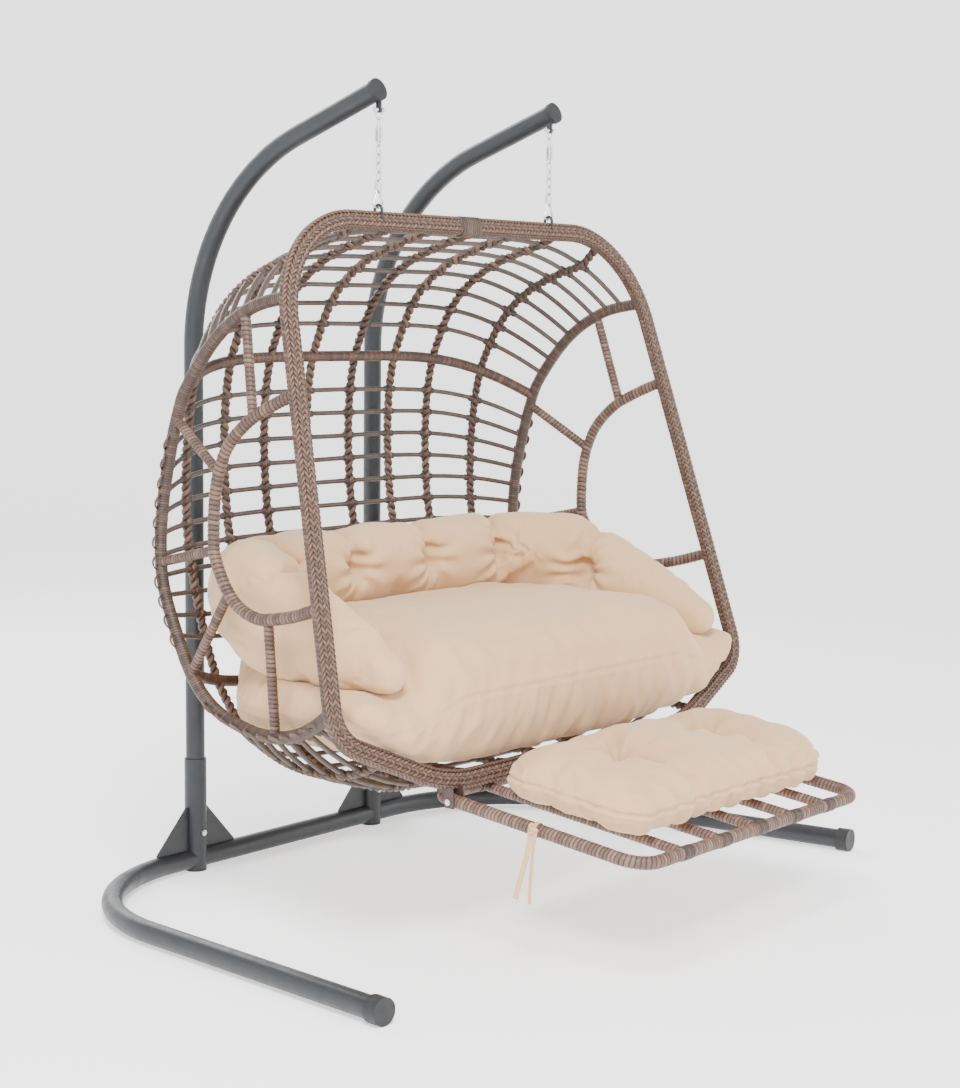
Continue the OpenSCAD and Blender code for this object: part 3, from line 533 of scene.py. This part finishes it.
TOP_STRAIGHT, LOW_STRAIGHT = 0.420, 0.3775    # where the rim's bars begin to curve
WIDE_HALF, WIDE_Z, WIDE_ROUND = 0.790, 0.518, 0.09
ROD_UP = (0, 0.6, 0.8)
mid_line, hoop_line = spline(middle_points, 8), spline(hoop_points, 8)
mid_s, hoop_s = lengths(mid_line), lengths(hoop_line)


def at(line, sums, share):
    """Point at a share of a line's length."""
    t = np.clip(share, 0, 1) * sums[-1]
    return np.stack([np.interp(t, sums, line[:, k]) for k in range(3)], -1)


def across(share, x):
    """Point on the basket's surface at a share of the way round and a distance sideways."""
    share, x = np.broadcast_arrays(np.asarray(share, float), np.asarray(x, float))
    m, h = at(mid_line, mid_s, share), at(hoop_line, hoop_s, share)
    w = np.minimum(1, np.abs(x) / HOOP_X) ** 4.5
    return np.stack([x * (1 + (h[..., 0] / HOOP_X - 1) * w),
                     m[..., 1] + (h[..., 1] - m[..., 1]) * w,
                     m[..., 2] + (h[..., 2] - m[..., 2]) * w], -1) + BASE


def arc_rise(run, r):
    """How far the rim's round corner has left its straight bar, run past the corner's start."""
    return math.cos(LEAN) * (r - math.sqrt(r * r - run * run)) if run > 0 else 0.0


def on_rim(x, z):
    return BASE + np.array([x, (z - RIM_TOP) * math.tan(LEAN), z])


def rope_line(x):
    """Along the rods at x, with straight ends from the first and last rod to the rim."""
    high = on_rim(x, RIM_TOP - arc_rise(abs(x) - TOP_STRAIGHT, TOP_ROUND))
    low = on_rim(x, RIM_LOW + arc_rise(abs(x) - LOW_STRAIGHT, LOW_ROUND))
    first, last = 1 / STEPS, 34 / STEPS
    pts = []
    for share in np.linspace(0.002, 0.998, 300):
        if share < first:
            q = high + (across(first, x) - high) * share / first
        elif share > last:
            a = across(last, x)
            q = a + (low - a) * (share - last) / (1 - last)
        else:
            q = across(share, x)
        pts.append(q)
    return np.array(pts)


# ---------------------------------------------------------------- hoops, spokes, tubes
SIDES = (("left", -1), ("right", 1))
for side, flip in SIDES:
    mirror = np.array([flip, 1, 1])
    o = wrapped("side_hoop_wrap_" + side, spline(hoop_points, 8) * mirror + BASE, 0.0150,
                (1, 0, 0), 0.0062, 0.0012, 1, 5, 18, seed=3 + flip)
    place(o, "basket", "wicker", cane_dark, "side_hoop_" + side)
    o = wrapped("window_hoop_wrap_" + side, spline(window_points, 8) * mirror + BASE, 0.0142,
                (1, 0, 0), 0.0115, 0.0022, 1, 7, 18, seed=13 + flip)
    place(o, "basket", "wicker", cane_light, "window_hoop_" + side)
    parts = []
    for k, ends in enumerate(spoke_ends):
        a, b = ends * mirror + BASE
        parts.append(wrapped("spoke", a + (b - a) * np.linspace(0, 1, 12)[:, None], 0.0118,
                             (0.9, 0.3, 0.2), 0.0105, 0.0018, 1, 7, 16, seed=31 + k))
    place(join("spoke_wraps_" + side, parts), "basket", "wicker", cane_light, "spokes_" + side)

XS = np.concatenate([-np.linspace(HOOP_X, 0.45, 24), np.linspace(-0.44, 0.44, 30),
                     np.linspace(0.45, HOOP_X, 24)])
for name, step in (("middle_tube", 9.5), ("lower_tube", 23)):
    o = wrapped(name + "_wrap", across(step / STEPS, XS), 0.0138, ROD_UP, 0.0046, 0.0010, 1, 5,
                16, seed=17)
    place(o, "basket", "wicker", cane_mid, name)

# ---------------------------------------------------------------- thin rods and their knots
rod_steps = {"crown_rods": range(1, 9), "back_rods": range(11, 17),
             "lower_back_rods": range(17, 22), "seat_rods": range(25, 35)}
ROPES = [-0.536, -0.379, -0.233, -0.079, 0.079, 0.233, 0.379, 0.536]
for name, steps in rod_steps.items():
    parts, knots = [], []
    for i in steps:
        p = resample(across(i / STEPS, XS), 0.012)
        sway = 0.0008 * np.sin(lengths(p) * 11 + i * 1.7)
        p = p + np.stack([0 * sway, 0.4 * sway, sway], 1)
        parts.append(tube("rod", p, 0.0062, ROD_UP, tone=0.3 + 0.5 * rng.random()))
        for x in ROPES:
            q = across(i / STEPS, np.linspace(x - 0.017, x + 0.017, 8))
            knots.append(wrapped("knot", q, 0.0092, ROD_UP, 0.0058, 0.0014, 1, 5, 10,
                                 seed=int(i * 10 + x * 100) % 97))
    place(join(name + "_cane", parts), "basket", "rod_wicker", rod_cane, name)
    # The knots' darker colour is painted shade where the ropes loop round the rods.
    place(join(name + "_knots", knots), "basket", "wicker", knot_cane)

# ---------------------------------------------------------------- twisted ropes
ropes = []
for k, x in enumerate(ROPES):
    ropes += twist("rope", rope_line(x), (1, 0, 0), 1.5 * STEPS * 0.996, 0.0058, 0.0068, 9,
                   0.004, phase0=math.pi / 2, hand=1 if k % 2 else -1, seed=k)
place(join("twisted_ropes", ropes), "basket", "wicker", cane_rope, "wicker_ropes")


# ---------------------------------------------------------------- rim
def rounded(corners, radii):
    """Closed outline with rounded corners, as 2-D points."""
    points = []
    c = [np.array(q, float) for q in corners]
    for i, radius in enumerate(radii):
        a, b, d = c[i - 1], c[i], c[(i + 1) % len(c)]
        u, v = unit(a - b), unit(d - b)
        half = math.acos(float(np.clip((u * v).sum(), -1, 1))) / 2
        centre = b + unit(u + v) * radius / math.sin(half)
        start = b + u * (radius / math.tan(half)) - centre
        first, sweep = math.atan2(start[1], start[0]), math.pi - 2 * half
        n = max(6, int(sweep * radius / 0.004))
        for k in range(n + 1):
            ang = first + sweep * k / n
            points.append(centre + radius * np.array([math.cos(ang), math.sin(ang)]))
    return np.array(points)


# The rim's outline in its own leaning plane, by its right half from the bottom up.
REACH = 0.606    # from the stand's posts forward to the chains' plane
RIM_FOOT = REACH + RIM_TOP * math.tan(LEAN)    # and on to where that plane meets the floor
half = [(x, z / math.cos(LEAN)) for x, z in ((LOW_HALF, RIM_LOW), (WIDE_HALF, WIDE_Z),
                                            (TOP_HALF, RIM_TOP))]
half_radii = [LOW_ROUND, WIDE_ROUND, TOP_ROUND]
rim_outline = rounded(half + [(-x, y) for x, y in half[::-1]], half_radii + half_radii[::-1])
RIM_UP = np.array([0, math.sin(LEAN), math.cos(LEAN)])
RIM_FRONT = np.array([0, -math.cos(LEAN), math.sin(LEAN)])
rim = resample(np.array([0, STAND_Y - RIM_FOOT, 0]) + rim_outline[:, :1] * np.array([1, 0, 0])
               + rim_outline[:, 1:] * RIM_UP, 0.004, True)


def rim_offset(a, n):
    """The rim's line moved outward in its plane by a and to the front by n."""
    return rim + a * np.cross(tangents(rim, True), RIM_FRONT) + n * RIM_FRONT


def soft_box(half_wide, half_thick):
    """A bar's section between an ellipse and a rectangle, as radius over angle."""
    return lambda th: ((np.abs(np.cos(th)) / half_wide) ** 3
                       + (np.abs(np.sin(th)) / half_thick) ** 3) ** (-1 / 3)


o = wrapped("rim_body", rim_offset(0, -0.0022), soft_box(0.0215, 0.0115), RIM_FRONT, 0.0105,
            0.0020, 7, 6, 32, True, seed=5)
place(o, "basket", "wicker", cane_mid)
cords = []
for k, (a, n) in enumerate([(-0.0176, 0.0070), (-0.0090, 0.0096), (0, 0.0104), (0.0090, 0.0096),
                            (0.0176, 0.0070)]):
    cords += twist("cord", rim_offset(a, n), RIM_FRONT, 196, 0.0024, 0.0033, 7, 0.0038, True,
                   0.4 * k, 1 if k % 2 else -1, k + 40)
place(join("rim_cords", cords), "basket", "wicker", cane_light, "rim_band")

# ---------------------------------------------------------------- footrest
FOOT_HALF, FOOT_FRONT, FOOT_BACK = 0.455, -0.515, 0.046
SLATS = (-0.3, -0.15, 0, 0.15, 0.3)
outline = rounded([(-FOOT_HALF, FOOT_FRONT), (FOOT_HALF, FOOT_FRONT), (FOOT_HALF, FOOT_BACK),
                   (-FOOT_HALF, FOOT_BACK)], [0.06, 0.06, 0.03, 0.03])
o = wrapped("footrest_frame_wrap", foot(np.column_stack([outline, 0 * outline[:, 0]])), 0.0150,
            (0, 0, 1), 0.0098, 0.0018, 1, 7, 18, True, seed=71)
place(o, "footrest", "wicker", cane_foot, "footrest_wrap")
parts = []
for k, x in enumerate(SLATS):
    line = foot(np.column_stack([np.full(30, x), np.linspace(0.030, -0.499, 30), np.zeros(30)]))
    parts.append(wrapped("slat", line, 0.0120, (0, 0, 1), 0.0098, 0.0016, 1, 7, 16, seed=80 + k))
place(join("footrest_slat_wraps", parts), "footrest", "wicker", cane_foot, "footrest_slats")

# ---------------------------------------------------------------- more wicker
# The rods' ends are bound to each side hoop by loops of flat cane that zigzag past it.
for side, flip in SIDES:
    parts = []
    for i in [k for g in ("back_rods", "lower_back_rods", "seat_rods") for k in rod_steps[g]]:
        here, half_way, following = i / STEPS, (i + 0.5) / STEPS, (i + 0.9) / STEPS
        on_hoop, between = across(here, HOOP_X * flip), across(half_way, HOOP_X * flip)
        away = unit(between - across(half_way, 0.55 * flip))
        past = np.array([flip * 0.021, 0, 0])
        line = spline([across(here, 0.640 * flip), on_hoop + 0.75 * past + 0.004 * away,
                       between + 1.12 * past, across(following, 0.648 * flip) + 0.35 * past], 8)
        parts.append(flat_band("loop", resample(line, 0.004), (flip, 0.25, 0.1), 0.0085, 0.0036,
                               10, proud=0.9, tone=0.3 + 0.4 * (i * 37 % 11) / 11))
    place(join("rod_end_loops_" + side, parts), "basket", "wicker", cane_mid)

centre = int(np.argmin(np.abs(rim[:, 0]) + 10 * (rim[:, 2] < 1.5)))
o = wrapped("rim_centre_binding", rim[(centre + np.arange(-9, 10)) % len(rim)],
            soft_box(0.0248, 0.0168), RIM_FRONT, 0.0072, 0.0016, 1, 7, 24, seed=9)
place(o, "basket", "wicker", cane_dark)
parts = []
for x in SLATS:
    for y in (FOOT_FRONT, FOOT_BACK):
        line = foot(np.column_stack([np.linspace(x - 0.017, x + 0.017, 9), np.full(9, y),
                                     np.zeros(9)]))
        parts.append(wrapped("band", line, 0.0164, (0, 0, 1), 0.0068, 0.0013, 1, 6, 18, seed=3))
place(join("slat_bindings", parts), "footrest", "wicker", cane_dark)


# ---------------------------------------------------------------- cushions
def applied(obj):
    """The object with its modifiers' result as its own mesh."""
    deps = bpy.context.evaluated_depsgraph_get()
    mesh = bpy.data.meshes.new_from_object(obj.evaluated_get(deps), depsgraph=deps)
    old = obj.data
    obj.modifiers.clear()
    obj.data = mesh
    bpy.data.meshes.remove(old)
    return obj


def remeshed(obj, voxel):
    remesh = obj.modifiers.new("remesh", "REMESH")
    remesh.mode = "VOXEL"
    remesh.voxel_size = voxel
    return applied(obj)


def cloth_mesh(name, node, voxel):
    """A free copy of a soft CAD solid, remeshed into even quads."""
    obj = bpy.data.objects.new(name, nodes[node].data.copy())
    bpy.context.scene.collection.objects.link(obj)
    return remeshed(obj, voxel)


def verts(obj):
    co = np.empty(len(obj.data.vertices) * 3, np.float32)
    obj.data.vertices.foreach_get("co", co)
    return co.reshape(-1, 3).astype(float)


def put(obj, co):
    obj.data.vertices.foreach_set("co", co.astype(np.float32).reshape(-1))
    obj.data.update()


def normals(obj, rounds):
    """Each vertex's normal, averaged with its neighbours' a number of times."""
    n = np.empty(len(obj.data.vertices) * 3, np.float32)
    obj.data.vertex_normals.foreach_get("vector", n)
    return smoothed(obj, n.reshape(-1, 3).astype(float), rounds)


def smoothed(obj, values, rounds):
    """Each vertex's value averaged with its neighbours', several times."""
    n = len(values)
    e = np.empty(len(obj.data.edges) * 2, np.int32)
    obj.data.edges.foreach_get("vertices", e)
    e = e.reshape(-1, 2)
    count = np.bincount(e.reshape(-1), minlength=n)[:, None]
    for _ in range(rounds):
        total = np.zeros_like(values)
        np.add.at(total, e[:, 0], values[e[:, 1]])
        np.add.at(total, e[:, 1], values[e[:, 0]])
        values = 0.5 * values + 0.5 * total / np.maximum(count, 1)
    return values


FRAMES = 20       # how long the cloth is given to swell
PRESSURE = 5.0    # of the filling


def stuffed(obj, shrink, pins, cap, slack):
    """Cloth simulation: the skin swells round the filling, and is held at its tufts and seams.
    It starts shrunk by a distance, has some slack, and moves outward by no more than cap."""
    scene = bpy.context.scene
    start = verts(obj)
    inner = start - unit(normals(obj, 4)) * shrink
    put(obj, inner)
    held = np.clip(pins(start), 0, 1)
    group = obj.vertex_groups.new(name="held")
    for i in np.flatnonzero(held > 0.02):
        group.add([int(i)], float(held[i]), "REPLACE")
    cloth = obj.modifiers.new("cloth", "CLOTH")
    cs = cloth.settings
    cs.quality = 5
    cs.mass = 0.25
    cs.tension_stiffness = cs.compression_stiffness = 15
    cs.shear_stiffness = 5
    cs.bending_stiffness = 0.4
    cs.use_pressure = True
    cs.uniform_pressure_force = PRESSURE
    cs.shrink_min = -slack
    cs.effector_weights.gravity = 0
    cs.vertex_group_mass = "held"
    cs.pin_stiffness = 4
    cloth.collision_settings.use_collision = False
    cloth.point_cache.frame_start, cloth.point_cache.frame_end = 1, FRAMES
    for f in range(1, FRAMES + 1):
        scene.frame_set(f)
        bpy.context.view_layer.update()
    deps = bpy.context.evaluated_depsgraph_get()
    swollen = np.empty(len(start) * 3, np.float32)
    obj.evaluated_get(deps).data.vertices.foreach_get("co", swollen)
    obj.modifiers.clear()
    obj.vertex_groups.clear()
    move = swollen.reshape(-1, 3).astype(float) - inner
    far = np.linalg.norm(move, axis=1, keepdims=True)
    move = move / np.maximum(far, 1e-9) * cap * np.tanh(far / cap)
    put(obj, inner + move)
    scene.frame_set(1)
    subdivide = obj.modifiers.new("round", "SUBSURF")
    subdivide.levels = subdivide.render_levels = 1
    applied(obj)


def bell(d, w):
    """One at no distance, and next to nothing beyond twice the width."""
    return np.exp(-(d / w) ** 2)


def waves(co, directions, seed):
    """Soft folds: a few sine waves, each with its direction and length, whose phases wander."""
    r = np.random.default_rng(seed)
    height = np.zeros(len(co))
    for d, length in directions:
        d = np.array(d, float) / np.linalg.norm(d)
        drift = sum(0.9 * np.sin(co @ (r.normal(size=3) * 9) + r.uniform(0, 6.3))
                    for _ in range(3))
        height += np.sin(co @ d * 2 * np.pi / length + drift + r.uniform(0, 6.3))
    return height / len(directions)


def ease(value, span):
    """Rises from 0 to 1 while the value goes from 0 to the span."""
    return np.clip(value / span, 0, 1)


def finish_cushion(obj, node, body):
    obj.data.shade_smooth()
    place(obj, body, "cloth", cream, node)


def move_out(obj, amount):
    put(obj, verts(obj) + unit(normals(obj, 2)) * amount[:, None])


def sewn(d, width=0.0045, depth=0.0035):
    """A seam, by the distance from it: a groove with a low ridge above and below it."""
    return -depth * bell(d, width) + 0.45 * depth * bell(np.abs(d) - 2.2 * width, width)


def settle(obj, under, gap=0.001):
    """Lifts whatever of obj is inside the cushion under it, so that one rests on the other."""
    tree = BVHTree.FromPolygons([v.co for v in under.data.vertices],
                                [tuple(p.vertices) for p in under.data.polygons])
    co = verts(obj)
    for i, (x, y, z) in enumerate(co):
        hit = tree.ray_cast(Vector((x, y, 2)), Vector((0, 0, -1)))[0]
        if hit is not None and z < hit.z + gap:
            co[i, 2] = hit.z + gap
    put(obj, co)


# Seat cushion: a boxy pad with a seam round its middle and soft folds hanging from the edges.
seat = cloth_mesh("seat_pad", "seat_cushion", 0.0112)
SEAT_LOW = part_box("seat_cushion")[0][2]


def seat_seam(c):
    """The seam's height; it falls off towards the sides."""
    return 0.572 - 0.055 * ease(np.abs(c[:, 0]) - 0.42, 0.2)


co = verts(seat)
facing = unit(normals(seat, 4))
ahead = ease(HANG_Y - 0.10 - co[:, 1], 0.12)
plump = 0.006 * np.clip(facing[:, 2] + 0.4, 0, 1) + 0.010 * ahead * np.clip(-facing[:, 1], 0, 1)
sag = 0.020 * ahead * ease(0.52 - co[:, 2], 0.10) * np.clip(-facing[:, 1] * 2, 0, 1)
put(seat, co + facing * plump[:, None] - np.array([0, 0, 1]) * sag[:, None])
stuffed(seat, 0.002, lambda c: 0.85 * bell(c[:, 2] - seat_seam(c), 0.008)
        + (c[:, 2] < SEAT_LOW + 0.03), 0.014, 0.045)
co = verts(seat)
front = ease(HANG_Y - 0.24 - co[:, 1], 0.08)
below = ease(seat_seam(co) + 0.03 - co[:, 2], 0.06)
above = ease(co[:, 2] - seat_seam(co), 0.03) * front
top = ease(co[:, 2] - 0.66, 0.03)
move_out(seat, (
    0.0044 * waves(co, [((1, 0, 0.16), 0.112), ((1, 0.1, -0.3), 0.067)], 3) * front * below
    + 0.0036 * waves(co, [((1, 0, 0.5), 0.10), ((1, 0.3, -0.4), 0.07)], 6) * above
    + 0.0040 * waves(co, [((1, 0.6, 0), 0.16), ((0.3, 1, 0), 0.21)], 5) * top
    + 0.0030 * waves(co, [((0.5, 1, 0.3), 0.09), ((1, 0.5, 0.4), 0.13)], 8)
    + sewn(co[:, 2] - seat_seam(co)) * np.clip(1.4 * front + 0.5, 0, 1)))
# The front rests on the rim's bottom bar, above the bar's own half height and its weave.
BAR_HALF = 0.0245
bar = rim[rim[:, 2] < 0.60]
bar = bar[np.argsort(bar[:, 0])]
co = verts(seat)
bar_top = np.interp(co[:, 0], bar[:, 0], bar[:, 2]) + BAR_HALF
over = (co[:, 1] < HANG_Y - 0.295) & (np.abs(co[:, 0]) < 0.72)
co[:, 2] = np.where(over, np.maximum(co[:, 2], bar_top), co[:, 2])
put(seat, co)
finish_cushion(seat, "seat_cushion", "basket")

# Bolster: tufted along its inner face, with folds that fan out from each tuft.
bolster = cloth_mesh("bolster_pad", "bolster", 0.0085)
back_tufts = [(x, HANG_Y + y, z) for x, y, z in
              [(-0.40, 0.205, 0.792), (-0.14, 0.218, 0.790), (0.14, 0.218, 0.790),
               (0.40, 0.205, 0.792)]]
arm_tufts = [(x, HANG_Y + 0.02, 0.742) for x in (-0.515, 0.515)]
tufts = np.array(back_tufts + arm_tufts)


def near_tufts(c, width):
    return np.max([bell(np.linalg.norm(c - q, axis=1), width) for q in tufts], axis=0)


def channels(c, width):
    """Sewn lines that run from each tuft up over the top."""
    lines = [bell(c[:, 0] - x * (1 + 0.12 * (c[:, 1] - y) / 0.1), width)
             * ease(c[:, 2] - z + 0.035, 0.05) * ease(HANG_Y + 0.36 - c[:, 1], 0.05)
             * (c[:, 1] > HANG_Y + 0.12) for x, y, z in back_tufts]
    lines += [bell(c[:, 1] - y, width) * (np.sign(x) * c[:, 0] > 0.40)
              * ease(c[:, 2] - z + 0.035, 0.05) * ease(0.64 - np.abs(c[:, 0]), 0.05)
              for x, y, z in arm_tufts]
    return np.max(lines, axis=0)


def bolster_pins(c):
    """Held at the tufts, along the channels and at the outer ends of the arms."""
    return np.maximum(np.maximum(near_tufts(c, 0.016), 0.8 * channels(c, 0.008)),
                      0.9 * ease(np.abs(c[:, 0]) - 0.655, 0.02))


co = verts(bolster)
facing = unit(normals(bolster, 6))
inside = ease(0.62 - np.abs(co[:, 0]), 0.06)
# It is fuller inwards and down, where it settles on the seat cushion.
co = co + facing * (0.010 * inside * np.clip(1 - facing[:, 2], 0, 1))[:, None]
co[:, 2] -= 0.040 * np.clip(-facing[:, 2], 0, 1) * ease(0.50 - np.abs(co[:, 0]), 0.1)
dent = 0.050 * near_tufts(co, 0.036) + 0.026 * channels(co, 0.024)
put(bolster, co - facing * dent[:, None])
stuffed(bolster, 0.004, bolster_pins, 0.018, 0.05)
co = verts(bolster)
fan = np.zeros(len(co))
for q in tufts:
    d = co - q
    turned = np.arctan2(d[:, 2], np.abs(d[:, 0]) * np.sign(d[:, 0]) + d[:, 1])
    fan += np.sin(9 * turned + 3 * q[0]) * bell(np.linalg.norm(d, axis=1) - 0.055, 0.045)
move_out(bolster, (
    0.0058 * fan + 0.0042 * waves(co, [((0.4, 0.4, 1), 0.11), ((1, 1, 0.2), 0.15)], 11)
    - 0.006 * channels(co, 0.006)))
settle(bolster, seat)
finish_cushion(bolster, "bolster", "basket")

# Footrest cushion: a pillow with pointed corners, a seam round its edge and two tufts.
# It is worked out in the footrest's own frame.
PILLOW_VOXEL = 0.0075
PILLOW_SEAM = 0.074
PILLOW_MIDDLE = np.array([0, -0.2615, PILLOW_SEAM])
PILLOW_HALF = np.array([0.430, 0.2045, 0.068])
pillow = cloth_mesh("footrest_pad", "footrest_cushion", PILLOW_VOXEL)
pillow_tufts = np.array([(-0.18, -0.245, 0.146), (0.17, -0.245, 0.146)])


def in_foot(c):
    """From the row to the footrest's own frame."""
    y, z = c[:, 1] - HINGE_Y, c[:, 2] - HINGE_Z
    cs, sn = math.cos(SLOPE), math.sin(SLOPE)
    return np.stack([c[:, 0], y * cs + z * sn, -y * sn + z * cs], 1)


def near_pillow_tufts(c, width):
    return np.max([bell(np.linalg.norm((c - t)[:, :2], axis=1), width) * (c[:, 2] > 0.06)
                   for t in pillow_tufts], axis=0)


def pillow_pins(c):
    """Held at the tufts, along the seam and on the slats."""
    c = in_foot(c)
    return np.maximum(near_pillow_tufts(c, 0.016), 0.6 * bell(c[:, 2] - PILLOW_SEAM, 0.006)
                      + (c[:, 2] < 0.022))


rel = in_foot(verts(pillow)) - PILLOW_MIDDLE
q = np.clip(np.abs(rel) / PILLOW_HALF, 0, 1)
rel[:, 2] *= 0.34 + 0.66 * np.sqrt((1 - q[:, 0] ** 7) * (1 - q[:, 1] ** 6))
rel[:, 1] -= np.sign(rel[:, 1]) * 0.022 * (1 - q[:, 0] ** 2) * q[:, 1] ** 2
rel[:, 0] -= np.sign(rel[:, 0]) * 0.026 * (1 - q[:, 1] ** 2) * q[:, 0] ** 2
corner = 0.016 * (q[:, 0] * q[:, 1]) ** 6
rel[:, :2] += np.sign(rel[:, :2]) * corner[:, None]
rel[:, 2] = np.maximum(rel[:, 2], -0.057)
co = rel + PILLOW_MIDDLE
co[:, 2] -= 0.050 * near_pillow_tufts(co, 0.034) + 0.030 * near_pillow_tufts(co, 0.085)
put(pillow, foot(co))
remeshed(pillow, PILLOW_VOXEL)
stuffed(pillow, 0.0, pillow_pins, 0.018, 0.055)
co = in_foot(verts(pillow))
fan = np.zeros(len(co))
for t in pillow_tufts:
    d = co - t
    r = np.linalg.norm(d[:, :2], axis=1)
    fan += (np.sin(7 * np.arctan2(d[:, 1], d[:, 0]) + 9 * t[0]) * bell(r - 0.075, 0.055)
            * (co[:, 2] > 0.075))
move_out(pillow, (
    0.0100 * fan + 0.0036 * waves(co, [((1, 0.3, 0), 0.12), ((0.2, 1, 0), 0.10)], 21)
    + sewn(co[:, 2] - PILLOW_SEAM, 0.004, 0.004)
    + 0.0055 * waves(co, [((1, 0, 0.2), 0.07)], 23) * ease(-0.40 - co[:, 1], 0.03)))
finish_cushion(pillow, "footrest_cushion", "footrest")

# ---------------------------------------------------------------- floor and light
def make_stage():
    """A round floor that curves up into a wall far away on every side, so no horizon shows."""
    prof = spline([(0.5, 0, 0), (3, 0, 0), (6, 0, 0), (8, 0.08, 0), (9.5, 0.4, 0), (10.8, 1.2, 0),
                   (11.7, 2.6, 0), (12.2, 4.5, 0), (12.4, 7, 0)], 6)
    sides = 96
    angles = np.linspace(0, 2 * np.pi, sides, endpoint=False)
    rows = [(r * math.cos(t), r * math.sin(t), max(0.0, z)) for r, z, _ in prof for t in angles]
    faces = [(i * sides + k, (i + 1) * sides + k, (i + 1) * sides + (k + 1) % sides,
              i * sides + (k + 1) % sides) for i in range(len(prof) - 1) for k in range(sides)]
    faces.append(list(range(sides)))
    mesh = bpy.data.meshes.new("floor")
    mesh.from_pydata(rows, [], faces)
    mesh.shade_smooth()
    o = bpy.data.objects.new("floor", mesh)
    bpy.context.scene.collection.objects.link(o)
    m = Mat("studio_floor")
    m.link(m.mix(m.noise(0.6, 2), srgb(248, 248, 248), srgb(251, 251, 251)),
           m.b.inputs["Base Color"])
    m.set(Roughness=0.8, Specular_IOR_Level=0.1, Emission_Color=grey(1), Emission_Strength=0.8)
    dress(o, m.m)


make_stage()


def area(name, loc, target, size, power):
    light = bpy.data.lights.new(name, "AREA")
    light.shape, light.size, light.energy = "DISK", size, power
    o = bpy.data.objects.new(name, light)
    bpy.context.scene.collection.objects.link(o)
    o.location = loc
    o.rotation_mode = "QUATERNION"
    o.rotation_quaternion = (Vector(target) - Vector(loc)).to_track_quat("-Z", "Y")


area("key", (-3.2, -2.4, 4.8), (0, 0, 0.8), 2.0, 560)
area("fill", (3.8, -4.2, 3.0), (0, 0, 0.8), 4.5, 80)
area("rim_light", (1.5, 4.6, 4.2), (0, 0, 1.0), 4.0, 230)
world = bpy.data.worlds.new("world")
bpy.context.scene.world = world
world.use_nodes = True
sky = world.node_tree.nodes["Background"]
sky.inputs["Color"].default_value = (0.97, 0.985, 1.0, 1)
sky.inputs["Strength"].default_value = 0.85
